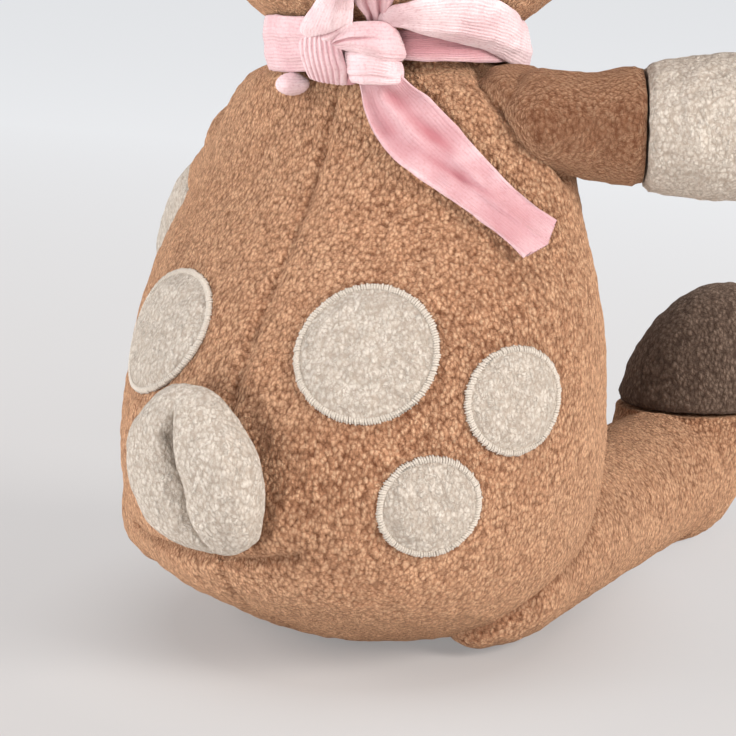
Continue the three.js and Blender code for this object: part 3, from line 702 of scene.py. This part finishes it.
def face_pieces():
    """The muzzle, the nose and both eyes."""
    centre = HEAD["centre"] + MUZZLE["place"]
    rings = ball_rings(centre, MUZZLE["halves"], np.eye(3), 110, 200)
    seam = np.hypot(rings[..., 0], np.maximum(rings[..., 2] - centre[2] - 9 * MM, 0) * 0.6)
    rings, tone_and_shade = fleece(lifted(rings, -0.7 * MM * bell(seam, 1.3 * MM)), 0.4 * MM, 0.3 * MM, 31)
    # Painted shade along the muzzle's seam.
    muzzle = build("muzzle_cover", [rings], CREAM, {"tone_and_shade": [tone_and_shade * (1 - 0.4 * bell(seam, 0.7 * MM))]})
    finish_piece(muzzle, "head", "cream", "muzzle", fill=0.8)
    nose_centre = HEAD["centre"] + NOSE["place"]
    nose = ball_rings(nose_centre, NOSE["halves"], np.eye(3), 40, 60)
    low = ramp(nose_centre[2] - nose[..., 2], 0, NOSE["halves"][2])
    nose[..., 0] *= 1 - 0.35 * low
    satin = 0.18 * MM * np.sin(nose[..., 0] * 2 * np.pi / (0.9 * MM))
    finish_piece(build("nose_stitch", [lifted(nose, satin)], DARK_THREAD), "head", "thread", "nose")
    for name, side in (("right", -1), ("left", 1)):
        out = direction(side * EYE["turn"], EYE["lift"])
        place = HEAD["centre"] + out * (HEAD["radius"] - EYE["sunk"])
        axes = facing_axes(out)
        eye = ball_rings(place, EYE["halves"], axes, 36, 60)
        eye = lifted(eye, 0.12 * MM * np.sin((eye - place) @ axes[1] * 2 * np.pi / (0.8 * MM)))
        finish_piece(build(f"eye_stitch_{name}", [eye], DARK_THREAD), "head", "thread", f"eye_{name}")


def ear_pieces(name, side):
    """The back and the lining of one cupped, leaf-shaped ear."""
    place, tilt = math.radians(EAR["place"]), math.radians(EAR["tilt"])
    reach = HEAD["radius"] * (1 + HEAD["cheek_share"] * math.sin(place) ** 7)
    outwards = np.array([side * math.sin(place), 0, math.cos(place)])
    along = np.array([side * math.sin(tilt), 0, math.cos(tilt)])
    root = HEAD["centre"] + outwards * (reach - EAR["sunk"])
    ahead = np.array([0.0, -1, 0])
    across = np.cross(along, ahead)
    length, width = EAR["length"], EAR["width"]
    share = np.linspace(0.01, 0.995, 100)
    half = width / 2 * (np.sin(np.pi * share ** 0.85) ** 0.75 + 0.18 * (1 - share))
    turn = turns(160)[None]
    for part, salt, front in (("back", 41, False), ("lining", 43, True)):
        inset = 0.86 if front else 1.0
        u = np.cos(turn) * half[:, None] * inset
        cup = 4.5 * MM * (u / (width / 2)) ** 2 * (1.3 - share[:, None])
        thick = 2.6 * MM * np.sqrt(np.maximum(1 - (u / (half[:, None] * inset)) ** 2, 0))
        rise = thick * np.sin(turn) * np.where(np.sin(turn) > 0, 1, 0.4 if front else 0.5)
        lift = cup + (1.6 * MM + rise if front else -rise)
        rings = root + along * (share * length)[:, None, None] + across * u[..., None]
        rings, tone_and_shade = fleece(rings + ahead * lift[..., None], 0.35 * MM, 0.2 * MM, salt)
        material = CREAM if front else FLEECE
        piece = build(f"ear_{part}_{name}", [rings], material, {"tone_and_shade": [tone_and_shade]})
        node = f"ear_lining_{name}" if front else f"ear_{name}"
        finish_piece(piece, f"ear_{name}", "cream" if front else "fleece", node)


# Arms and legs

TURNED_SHARES = np.array([0.05, 0.6, 0.9])
SEAM_EDGE = 1.3 * MM


def sewn_edge(rings, shade, at_start):
    """The rings and their shades with a rounded, turned-in edge where a seam joins the next piece."""
    way = 1 if at_start else -1
    rings, shade = rings[::way], shade[::way]
    middle = rings[0].mean(0)
    inner = middle + TURNED_SHARES[:, None, None] * (rings[0] - middle)
    rings = np.concatenate([inner, rings])
    shade = np.concatenate([np.repeat(shade[:1], len(inner), 0), shade])
    return rings[::way], shade[::way]


def seam_dip(distance):
    """How much a rounded seam edge draws in, at a distance from the seam."""
    return SEAM_EDGE * np.sqrt(np.clip(1 - distance / (1.6 * SEAM_EDGE), 0, 1))


def arm_pieces(name, pose):
    centre, axis = pose["shoulder"], limb_axis(pose)
    aside = unit(np.cross(UP, axis))
    root_turn = np.radians(np.linspace(-88, 0, 24))
    end_turn = np.radians(np.linspace(0, 87, 40))
    end_along = ARM["length"] - ARM["end"]
    profile = even(np.concatenate([
        np.stack([ARM["root"] * np.sin(root_turn), ARM["root"] * np.cos(root_turn)], -1),
        catmull(np.array(ARM_ROWS) * MM, 80),
        np.stack([end_along + ARM["end"] * np.sin(end_turn), ARM["end"] * np.cos(end_turn)], -1),
    ]), 150)
    for hand, salt in ((False, 51), (True, 53)):
        keep = profile[:, 0] > ARM["wrist"] if hand else profile[:, 0] <= ARM["wrist"]
        along, radius = profile[keep].T
        away = np.abs(along - ARM["wrist"])
        rings = profile_rings(centre + along[:, None] * axis, radius - seam_dip(away), axis, aside, 170)
        # Painted shade along the wrist seam.
        dark = 0.8 * bell(away, 0.7 * MM)[:, None] + np.zeros(rings.shape[:2])
        if not hand:
            rings = lifted(rings, -1.3 * MM * bell(from_torso(rings), 2.4 * MM))
            sunk = ramp(arm_behind(rings, pose), -0.5 * MM, 2 * MM)[..., None]
            rings = rings + sunk * (on_torso(rings, -2.5 * MM)[0] - rings)
            # Painted shade where the sleeve meets the body.
            near = bell(from_torso(rings), 2 * MM) * bell(arm_behind(rings, pose), 5 * MM)
            dark = np.maximum(dark, 0.8 * near)
        rings, tone_and_shade = fleece(rings, salt=salt)
        # The shaded right sleeve is painted darker all over.
        shade = tone_and_shade * (1 - dark) - (0 if hand else pose["pressed_shade"])
        rings, shade = sewn_edge(rings, shade, hand)
        part, slot, material = ("hand", "cream", CREAM) if hand else ("sleeve", "fleece", FLEECE)
        nodes = (f"front_hoof_{name}",) if hand else (f"arm_{name}", f"arm_stuffing_{name}")
        piece = build(f"arm_{part}_{name}", [rings], material, {"tone_and_shade": [shade]})
        finish_piece(piece, f"arm_{name}", slot, *nodes, fill=0.8)


def leg_rings(pose):
    """The leg and its upturned foot as one row of rings, with the height up the foot of each ring, or -1."""
    hip = LEG["hip"] * [pose["side"], 1, 1]
    foot = pose["foot"]
    radius = LEG["radius"]
    reach = np.linalg.norm((foot - hip)[:2])
    ahead = unit(np.array([foot[0] - hip[0], foot[1] - hip[1], 0]))
    aside = unit(np.cross(ahead, UP))
    instep = np.array([reach - FOOT["half_depth"], 2 * radius - 1 * MM])
    turn = turns(150)[:, None]
    rows, levels = [], []

    def add(centre, down, half_down, half_wide, level=-1.0):
        place = hip * [1, 1, 0] + ahead * centre[0] + UP * centre[1]
        rows.append(place + half_wide * np.cos(turn) * aside + half_down * np.sin(turn) * down)
        levels.append(level)

    for back in np.linspace(0.99, 0.0, 26):
        half = radius * math.sqrt(1 - back ** 2.2) + 0.4 * MM
        rise = half + (radius - half) * 0.25
        add((-radius * 1.05 * back, rise), -UP, half, half)
    for along in np.linspace(0.01, 1, 120)[:-1]:
        slim = 1 - 0.05 * math.sin(math.pi * along)
        add((instep[0] * along, radius * slim), -UP, radius * slim, radius * slim)
    for bend in np.radians(np.linspace(0, 90, 44)):
        grown = (2 * FOOT["half_depth"] - instep[1]) * (bend / (np.pi / 2))
        span = instep[1] + grown + 9 * MM * math.sin(2 * bend)
        down = ahead * math.sin(bend) - UP * math.cos(bend)
        centre = instep + np.array([math.sin(bend), -math.cos(bend)]) * span / 2
        wide = radius + (FOOT["half_width"] - radius) * math.sin(bend)
        add(centre, down, span / 2, wide)
    top = 2 * FOOT["half_height"]
    for level in np.linspace(0.02, 0.998, 60):
        height = instep[1] + (top - instep[1]) * math.sin(level * math.pi / 2)
        share = math.sqrt(max(1 - ((height - instep[1]) / (top - instep[1] + 0.3 * MM)) ** 2.2, 0))
        deep, wide = FOOT["half_depth"] * share, FOOT["half_width"] * share
        add((reach, height), ahead, deep, wide, height - instep[1])
    rings, levels = np.array(rows), np.array(levels)
    lean = math.radians(pose["tilt"])
    lift = np.maximum(rings[..., 2] - 20 * MM, 0) * ramp((rings - hip) @ ahead, instep[0] - 20 * MM, reach)
    return rings + (math.tan(lean) * lift)[..., None] * np.array([1.0, 0, 0]), levels


def leg_pieces(name, pose):
    rings, levels = leg_rings(pose)
    first = int(np.argmax(levels > 0))
    away = np.abs(np.arange(len(rings)) - (first - 0.5)) * 0.9 * MM
    rings = lifted(rings, -seam_dip(away)[:, None])
    rings = lifted(rings, -1.2 * MM * bell(from_torso(rings), 2.6 * MM))
    grown, tone_and_shade = fleece(rings, salt=61)
    grown[..., 2] = np.maximum(grown[..., 2], FLOOR_GAP)
    # Painted shade where the leg meets the body and along the hoof seam.
    dark = np.maximum(0.7 * bell(from_torso(rings), 1.6 * MM), 0.8 * bell(away, 1.0 * MM)[:, None])
    shade = tone_and_shade * (1 - dark)
    for hoof in (False, True):
        keep = slice(first, None) if hoof else slice(None, first)
        part_rings, part_shade = sewn_edge(grown[keep], shade[keep], hoof)
        part, slot, material = ("hoof", "hoof", HOOF) if hoof else ("cover", "fleece", FLEECE)
        nodes = (f"rear_hoof_{name}",) if hoof else (f"leg_{name}", f"leg_stuffing_{name}")
        piece = build(f"leg_{part}_{name}", [part_rings], material, {"tone_and_shade": [part_shade]})
        finish_piece(piece, f"leg_{name}", slot, *nodes, fill=0.8)


# Tail: a padded leaf folded down its middle, its two lobes meeting in a slit.
# Rows of share of its height, then its right edge, its left edge and the slit, all across in millimetres
TAIL_HEIGHTS = (41.5 * MM, 85.8 * MM)
TAIL_ROWS = np.array([
    [0, -6.5, -1, -5],
    [0.012, -10.2, 4.5, -6.8],
    [0.04, -13.6, 8.4, -6.8],
    [0.08, -16, 12.4, -6.2],
    [0.15, -18.7, 15.9, -4],
    [0.3, -20.6, 18.7, -2.2],
    [0.45, -21, 20, -1.4],
    [0.58, -20.1, 20, 0.6],
    [0.7, -17.8, 18.4, 1.4],
    [0.82, -14.2, 15.2, 1],
    [0.9, -11, 12.2, 1],
    [0.96, -7.6, 8.6, 0.8],
    [0.99, -4.5, 6, 0.8],
    [1, -1.8, 3.4, 0.8],
])


def tail_piece():
    share = (1 - np.cos(np.linspace(0.03, np.pi - 0.03, 170))) / 2
    table = catmull(TAIL_ROWS, 600)
    right, left, slit = (np.interp(share, table[:, 0], column) * MM for column in table[:, 1:].T)
    half = (left - right) / 2
    middle = (left + right) / 2
    low, high = TAIL_HEIGHTS
    turn = turns(280)[None]
    x = np.cos(turn) * half[:, None]
    cut = np.clip(slit - middle, -0.6 * half, 0.6 * half)[:, None]
    lobe = (half[:, None] - np.sign(x - cut) * cut) / 2
    off = (np.abs(x - cut) - lobe) / lobe
    two = np.maximum(1 - np.abs(off) ** np.where(x < cut, 7, 4), 0) ** 0.5
    one = np.maximum(1 - np.abs(x / half[:, None]) ** 2.4, 0) ** 0.5
    open_share = (ramp(share, 0.93, 0.72) * (0.32 + 0.3 * ramp(share, 0.05, 0.4)))[:, None]
    bulk = 10.5 * MM * np.sqrt(np.maximum(1 - np.abs(2 * share - 1) ** 2.6, 0))[:, None]
    front = bulk * (one * (1 - open_share) + two * open_share * np.where(x < cut, 1.1, 0.98))
    hole = bell(x - cut - 0.2 * MM, 1.1 * MM) * bell(share - 0.66, 0.13)[:, None]
    front = front - 8 * MM * hole
    back = 0.55 * bulk * one
    front_side = np.sin(turn) >= 0
    height = low + (high - low) * share[:, None] + 0 * x
    stand = (75.2 + 2.4 * share[:, None]) * MM
    y = stand + np.where(front_side, front, -back)
    rings = np.stack([middle[:, None] + x, y, height], -1)
    wide, deep, centre = section_at(height)
    skin = centre + deep * np.sqrt(np.maximum(1 - (rings[..., 0] / wide) ** 2, 0))
    rings[..., 1] = np.maximum(rings[..., 1], skin + 0.9 * MM)
    # Painted shade in the slit between the lobes and in its deep hole.
    near = bell(x - cut, 0.8 * MM) * open_share * front_side
    rings, tone_and_shade = fleece(rings, 0.3 * MM, 0.3 * MM, 71)
    tone_and_shade = tone_and_shade * (1 - near) * (1 - hole)
    piece = build("tail_cover", [rings], CREAM, {"tone_and_shade": [tone_and_shade]})
    finish_piece(piece, "tail", "cream", "tail", fill=0.7)


# Ribbon: strips of folded jersey between two edges

def round_neck(rows):
    """Places round the neck from rows of angle, distance out and height."""
    around, out, height = np.asarray(rows, float).T
    angle = np.radians(around)
    return np.stack([-out * np.sin(angle), NECK_Y / MM + out * np.cos(angle), height], -1) * MM


def strip(edge_a, edge_b, bulge=1.0, folds=(), pleats=0, pleat_height=0.0, pink=0.0, crease_shade=0.0,
          thickness=1.1, rows=100, columns=60):
    """A strip of ribbon between two edges, as its rings, rib places and painted shade, which is 1 where none
    is painted.

    The pink amount paints shade, towards a deeper pink, over the whole strip, and the crease amount paints
    it in the pleat creases. Each fold is a lengthwise ridge, or a crease with painted shade where its height
    is below 0. It is given as its share of the width at both ends, its width share, its height and the
    length shares where it fades in and out.
    """
    a, b = even(catmull(edge_a, 200), rows), even(catmull(edge_b, 200), rows)
    across = b - a
    normal = unit(np.cross(across, np.gradient((a + b) / 2, axis=0)))
    outwards = (a + b) / 2 - np.array([0, NECK_Y, 0])
    outwards[:, 2] = 0
    normal = normal * np.sign(np.sum(normal * outwards))
    v, share = np.linspace(0, 1, columns)[None], np.linspace(0, 1, rows)[:, None]
    crease = 1 - np.abs(np.sin(np.pi * pleats * v)) if pleats else 0 * v
    lift = bulge * 4 * (v - v ** 2) + 0 * share - pleat_height * crease ** 1.5
    painted_shade = pink + crease_shade * crease ** 2 + 0 * share
    for start, end, spread, height, fade_in, fade_out in folds:
        near = bell(v - start - (end - start) * share, spread)
        near = near * ramp(share, fade_in - 0.15, fade_in + 0.05)
        near = near * ramp(share, fade_out + 0.15, fade_out - 0.05)
        lift = lift + height * near
        painted_shade = painted_shade + max(-height, 0) * 0.6 * near
    half = thickness / 2 * np.sqrt(np.clip(9 * np.minimum(v, 1 - v) + 0.05, 0, 1))
    half = half * np.sqrt(np.clip(np.minimum(share, 1 - share) * rows / 3 + 0.1, 0, 1))
    line = a[:, None] + across[:, None] * v[..., None]
    top = line + normal[:, None] * (lift + half)[..., None] * MM
    bottom = line + normal[:, None] * (lift - half)[..., None] * MM
    ribs = v * np.linalg.norm(across, axis=-1).mean() + 0 * share
    shade = 1 - np.clip(painted_shade, 0, 1)
    rings = np.concatenate([top, bottom[:, ::-1]], 1)
    return rings, np.concatenate([ribs, ribs[:, ::-1]], 1), np.concatenate([shade, shade[:, ::-1]], 1)


def strip_places(rows, columns):
    """Each strip point's share of the length, and of the width over the front and back again."""
    there = np.linspace(0, 1, columns)
    return np.linspace(0, 1, rows)[:, None], np.concatenate([there, there[::-1]])[None]


def ribbon_piece(name, strips, salt, nodes=(), body="torso"):
    """One piece of ribbon made of strips, softly creased."""
    grids = []
    for rings, ribs, _ in strips:
        soft = 0.22 * swells(rings, 3.5 * MM, salt) + 0.3 * swells(rings, 8 * MM, salt + 1)
        wave = 0.05 * np.sin(ribs * 2 * np.pi / RIB_PITCH)
        grids.append(lifted(rings, (soft + wave) * MM))
    attributes = {"across": [ribs for _, ribs, _ in strips], "tone_and_shade": [shade for _, _, shade in strips]}
    piece = build(name, grids, JERSEY, attributes)
    finish_piece(piece, body, "ribbon", *nodes)


def band_piece():
    """The ribbon's turn round the neck, from the knot back to the knot, painted with shade, more towards its
    end except along its lower edge.
    """
    turn = np.linspace(14, -338, 60)
    spots = [-338, -322, -300, -285, -262, -235, -180, -60, -50, -42, -32, -20, -5, 14]
    low = [164.2, 164.0, 163.6, 163, 162.2, 160, 158.6, 158.5, 158.8, 159.2, 159.6, 160, 160.7, 161]
    high = [172, 172.5, 173, 173.5, 173.5, 173.5, 173, 172.2, 172.6, 173.6, 174.8, 175.4, 175.4, 174]
    out_low = [34.5, 35.2, 36, 36.5, 36.8, 36.5, 36, 36.0, 36.0, 36.2, 36.6, 36.6, 36.6, 36]
    out_high = [33.5, 34.5, 34.5, 34, 34, 34.6, 36.2, 36.2, 36.3, 37, 39.6, 41, 41.4, 41]
    low_edge, high_edge = (
        round_neck(np.stack([turn, np.interp(turn, spots, out), np.interp(turn, spots, level)], -1))
        for out, level in ((out_low, low), (out_high, high)))
    folds = [(0.3, 0.3, 0.12, 0.4, 0, 1), (0.72, 0.65, 0.1, 0.4, 0, 1)]
    rows, columns = 260, 44
    rings, ribs, _ = strip(low_edge, high_edge, 0.7, folds, rows=rows, columns=columns)
    share, v = strip_places(rows, columns)
    # Painted shade over the band, deeper over its end and less along its lower edge.
    shade = 0.68 - 0.52 * ramp(share, 0.76, 0.86) * (1 - 0.85 * bell(v, 0.16))
    ribbon_piece("ribbon_round_neck", [(rings, ribs, shade)], 81, ("ribbon_band",))


def fold_piece():
    """The ribbon's outer layer on the right, which crosses from the knot up under the head."""
    part = strip(
        round_neck([
            [25, 40.5, 174.4], [31, 40, 173.8], [38.7, 39.4, 172.3], [51, 38.6, 169.8],
            [63.6, 38.2, 167.7], [72.7, 38.1, 165.9], [85.4, 37.6, 162.7], [97, 36.9, 160.6],
            [112, 36.5, 159], [132, 36.2, 157.6]]),
        round_neck([
            [25.5, 42, 175.6], [29.8, 44.6, 178.3], [35.5, 47, 179.7], [43.4, 48.5, 181.3],
            [56.4, 48.8, 181.7], [68, 46.5, 179.8], [82, 42, 176.4], [95, 38, 173.8],
            [110, 35.6, 172.8], [132, 34.6, 172.4]]),
        1.3, [(0.25, 0.4, 0.12, 0.5, 0, 1)], rows=150)
    ribbon_piece("ribbon_outer_fold", [part], 85)


def knot_piece():
    """The knot: a pleated turn on the left, a creased flap over it, a strip painted with deep shade in the
    gap, and a turn under it.
    """
    strips = [
        strip(
            round_neck([[-6.5, 38.5, 173.4], [-7.6, 40.3, 169.5], [-7.8, 40, 164.8], [-7.4, 37, 158.8]]),
            round_neck([[9.5, 40.6, 172.4], [12, 41.7, 168.4], [13.2, 41.5, 164.5], [13.6, 40.5, 161.8],
                        [11.6, 37, 157.8]]),
            0.9, [(0.8, 0.75, 0.3, 0.4, 0, 1)],
            pleats=8, pleat_height=0.5, crease_shade=0.45, pink=0.12, columns=140),
        strip(
            round_neck([[8.2, 39.8, 169.4], [11.5, 42, 172.4], [15.9, 43.4, 174.2], [21.1, 44.2, 174.8],
                        [26.5, 44.2, 174.9], [29.6, 43, 174.6], [31.6, 40.5, 173.4], [32.6, 37.5, 171.4]]),
            round_neck([[9.6, 40.4, 167.4], [14.4, 42.1, 166.9], [19.2, 43, 166.6], [24.0, 43.4, 165.9],
                        [27.8, 43, 165], [31, 41.5, 164.3], [33.2, 39, 163.9], [34.6, 36.5, 163.8]]),
            0.9, [(0.55, 0.36, 0.045, -0.9, 0.12, 0.5), (0.45, 0.8, 0.2, 0.6, 0, 1)],
            thickness=1.5, pink=0.1, columns=90),
        # The gap is a strip painted with deep shade.
        strip(
            round_neck([[6.5, 38, 168], [8.5, 38.4, 164.2], [8, 36.3, 157.7]]),
            round_neck([[12.5, 39, 167], [14.8, 38.8, 162.8], [15.2, 36.3, 157.9]]),
            0.2, pink=0.75, columns=24),
        strip(
            round_neck([[12.6, 40, 166.8], [18.4, 41.8, 167.4], [22.9, 42.6, 167.2], [27, 42.4, 166.4],
                        [31.1, 41, 165], [34.8, 38, 164]]),
            round_neck([[14.6, 38.2, 158.2], [19.9, 40.6, 158], [23.8, 41.2, 158], [28.2, 41, 157.9],
                        [32.4, 40, 157.9], [35, 37.5, 158.2]]),
            0.7, [(0.75, 0.72, 0.05, -0.3, 0, 0.7)], pink=0.1),
    ]
    ribbon_piece("ribbon_knot_wraps", strips, 87, ("ribbon_knot",))


def loop_piece():
    """The bow's loop, which stands up from the knot against the head, and its inner side, painted with
    shade.
    """
    strips = [
        strip(
            round_neck([[-5.1, 37, 169.6], [-6.3, 40.6, 171.4], [-2.5, 43.5, 174.2], [3.1, 46, 177.8],
                        [8.5, 49, 181.2], [12.9, 52, 184.2]]),
            round_neck([[13.9, 38.5, 170.6], [16.7, 42.6, 173.1], [18.9, 46.6, 176.9], [20.1, 50, 180.6],
                        [20.4, 53, 184.3]]),
            1.6, [(0.0, 2.3, 0.07, -1.3, 0, 0.28), (0.68, 0.6, 0.2, 0.7, 0, 1)], thickness=1.3, columns=90),
        strip(
            round_neck([[22.2, 41, 173.5], [20.6, 43, 176.7], [18.5, 46, 179.6], [18, 50, 183.7]]),
            round_neck([[28.9, 41, 173.3], [30.2, 43, 176.8], [31.7, 46.5, 180], [32.9, 50, 183.8]]),
            0.4, pleats=3, pleat_height=1.4, crease_shade=0.4, pink=0.4, columns=70),
    ]
    ribbon_piece("ribbon_bow_loop", strips, 91, ("ribbon_loop",))


def short_end_piece():
    """The ribbon's short end, rolled up under the band on the left."""
    centre = np.array([11.6, 17.6, 156.6]) * MM
    axes = np.stack([unit(np.array([0.83, 0.56, -0.04])), unit(np.array([-0.56, 0.83, 0.1])), UP])
    rings = ball_rings(centre, np.array([4.7, 3.4, 3.2]) * MM, axes, 60, 90)
    value = np.linspace(0, 1, rings.shape[0])[:, None] * np.ones((1, rings.shape[1]))
    part = (rings, value * 9 * MM, np.full(value.shape, 1.0))
    ribbon_piece("ribbon_rolled_end", [part], 93, ("ribbon_short_end",))


TAIL_EDGES = {
    "left": np.array([
        [-10.8, 18.8, 160], [-11.3, 18.0, 156.3], [-12.0, 17.4, 150.9], [-16.4, 18.2, 143.8],
        [-24.3, 19.0, 137.6], [-35.7, 18.6, 131.2], [-45.2, 17.4, 125.5], [-53.0, 16.2, 120.5],
        [-60.0, 15.2, 115.0],
    ]) * MM,
    "right": np.array([
        [-22.5, 15.5, 161], [-24.4, 13.6, 158.3], [-28.1, 11.2, 155.0], [-33.1, 10.1, 150.5],
        [-38.6, 9.4, 145.2], [-44.1, 9.0, 140.0], [-50.3, 8.0, 134.0], [-57.0, 5.8, 128.2],
        [-62.6, 2.4, 123.6],
    ]) * MM,
}


def long_tail_piece():
    """The ribbon's long tail, cupped where it leaves the knot and nearly flat at its cut end."""
    rows, columns = 180, 70
    left, right = TAIL_EDGES["left"], TAIL_EDGES["right"]
    rings, ribs, shade = strip(
        left, right, 0.5,
        [(0.03, 0.03, 0.05, 0.9, 0, 1), (0.97, 0.97, 0.04, 0.5, 0, 1), (0.5, 0.9, 0.1, -0.45, 0.1, 0.4),
         (0.1, 0.7, 0.08, -0.4, 0.45, 0.7), (0.75, 0.5, 0.1, 0.7, 0.4, 0.8), (0.3, 0.5, 0.06, 0.5, 0.7, 1)],
        rows=rows, columns=columns)
    share, v = strip_places(rows, columns)
    along = unit(left[-1] + right[-1] - left[-3] - right[-3])
    hollow = bell(v - 0.2, 0.13) * bell(share - 0.2, 0.1) + bell(v - 0.68, 0.17) * bell(share - 0.36, 0.1)
    hollow = hollow + 0.6 * bell(v - 0.45, 0.12) * bell(share - 0.6, 0.08)
    ridge = bell(v - 0.28 - 0.6 * share, 0.13) * ramp(share, 0.45, 0.3) * ramp(share, 0, 0.15)
    rumple = swells(rings, 5 * MM, 97) + 0.7 * swells(rings, 9 * MM, 98)
    rim = np.maximum(bell(v, 0.05), bell(v - 1, 0.05))
    outwards = unit(np.array([-0.35, 0.9, 0.35]))
    rings = rings + outwards * ((0.9 * ridge - 1.2 * hollow + 0.6 * rumple) * MM)[..., None]
    point = (1 - np.abs(2 * v - 1)) * ramp(share, 0.9, 1.0)
    rings = rings + along * (2.6 * MM * point)[..., None]
    # Painted shade over the whole tail, deeper in its hollows, and painted highlights on its rims, ridge and
    # raised rumples.
    shade = shade - 0.6 - 0.2 * hollow + 0.25 * rim + 0.15 * ridge + 0.16 * rumple
    parts = [(rings, ribs, np.clip(shade, 0, 1))]
    ribbon_piece(
        "ribbon_tail_strip", parts, 95, ("ribbon_long_tail",), "ribbon_tail")


# Stage, camera and lights

def add_camera():
    way = Vector(direction(VIEW["azimuth"], VIEW["elevation"]))
    camera = bpy.data.objects.new("camera", bpy.data.cameras.new("camera"))
    camera.data.lens = VIEW["lens"]
    camera.data.sensor_width = VIEW["sensor"]
    camera.location = Vector(VIEW["look_at"]) + way * VIEW["distance"]
    camera.rotation_euler = way.to_track_quat("Z", "Y").to_euler()
    bpy.context.scene.collection.objects.link(camera)
    bpy.context.scene.camera = camera


def add_floor():
    """A pale floor that glows for the camera, darker at the front than at the back, with a painted shadow
    under the toy, where it also glows less so that the real shadow shows.
    """
    half = FLOOR["half"]
    mesh = bpy.data.meshes.new("floor")
    corners = [(-half, -half, 0), (half, -half, 0), (half, half, 0), (-half, half, 0)]
    mesh.from_pydata(corners, [], [(0, 1, 2, 3)])
    n = Nodes("floor", {"Roughness": 0.9, "Specular IOR Level": 0.1})
    seen = n.add("ShaderNodeLightPath").outputs["Is Camera Ray"]
    out = n.vector("LENGTH", {0: n.place})["Value"]
    # Painted shadow: the floor's colour is darker near the toy.
    n.link(n.mix(n.stretch(out, *FLOOR["edge"], 1, 0), FLOOR["plain"], FLOOR["painted_shadow"]), "Base Color")
    depth = n.add("ShaderNodeSeparateXYZ", {0: n.place}).outputs["Y"]
    colour = n.mix(n.stretch(depth, 0.12, -0.9, 0, 1), FLOOR["near_glow"], FLOOR["far_glow"])
    glow = n.add("ShaderNodeEmission", {"Color": colour, "Strength": 1.0})
    share = n.math("MULTIPLY", seen, n.stretch(out, *FLOOR["edge"], *FLOOR["glow_shares"]))
    mixed = n.add("ShaderNodeMixShader", {0: share, 1: n.shader.outputs[0], 2: glow.outputs[0]})
    n.tree.links.new(mixed.outputs[0], n.tree.nodes["Material Output"].inputs["Surface"])
    mesh.materials.append(n.material)
    floor = bpy.data.objects.new("floor", mesh)
    bpy.context.scene.collection.objects.link(floor)


def add_light(name, place, size, power, colour):
    light = bpy.data.lights.new(name, "AREA")
    light.size = size
    light.energy = power
    light.color = colour
    lamp = bpy.data.objects.new(name, light)
    lamp.location = place
    lamp.rotation_euler = (Vector(place) - Vector(LIGHTS_AIM)).to_track_quat("Z", "Y").to_euler()
    bpy.context.scene.collection.objects.link(lamp)


def add_lights():
    world = bpy.context.scene.world or bpy.data.worlds.new("world")
    bpy.context.scene.world = world
    world.use_nodes = True
    background = world.node_tree.nodes["Background"]
    background.inputs["Color"].default_value = SKY["colour"]
    background.inputs["Strength"].default_value = SKY["strength"]
    for light in LIGHTS:
        add_light(*light)


torso_piece()
for number, (spot_name, spot_shape) in enumerate(SPOTS.items()):
    spot_piece(spot_name, spot_shape, 11 + number)
head_piece()
neck_piece()
face_pieces()
for ear_name, ear_side in (("right", -1), ("left", 1)):
    ear_pieces(ear_name, ear_side)
for arm_name, arm_pose in ARM_POSES.items():
    arm_pieces(arm_name, arm_pose)
for leg_name, leg_pose in LEG_POSES.items():
    leg_pieces(leg_name, leg_pose)
tail_piece()
band_piece()
fold_piece()
knot_piece()
loop_piece()
short_end_piece()
long_tail_piece()

add_camera()
add_floor()
add_lights()
bpy.context.scene.view_settings.view_transform = "Standard"
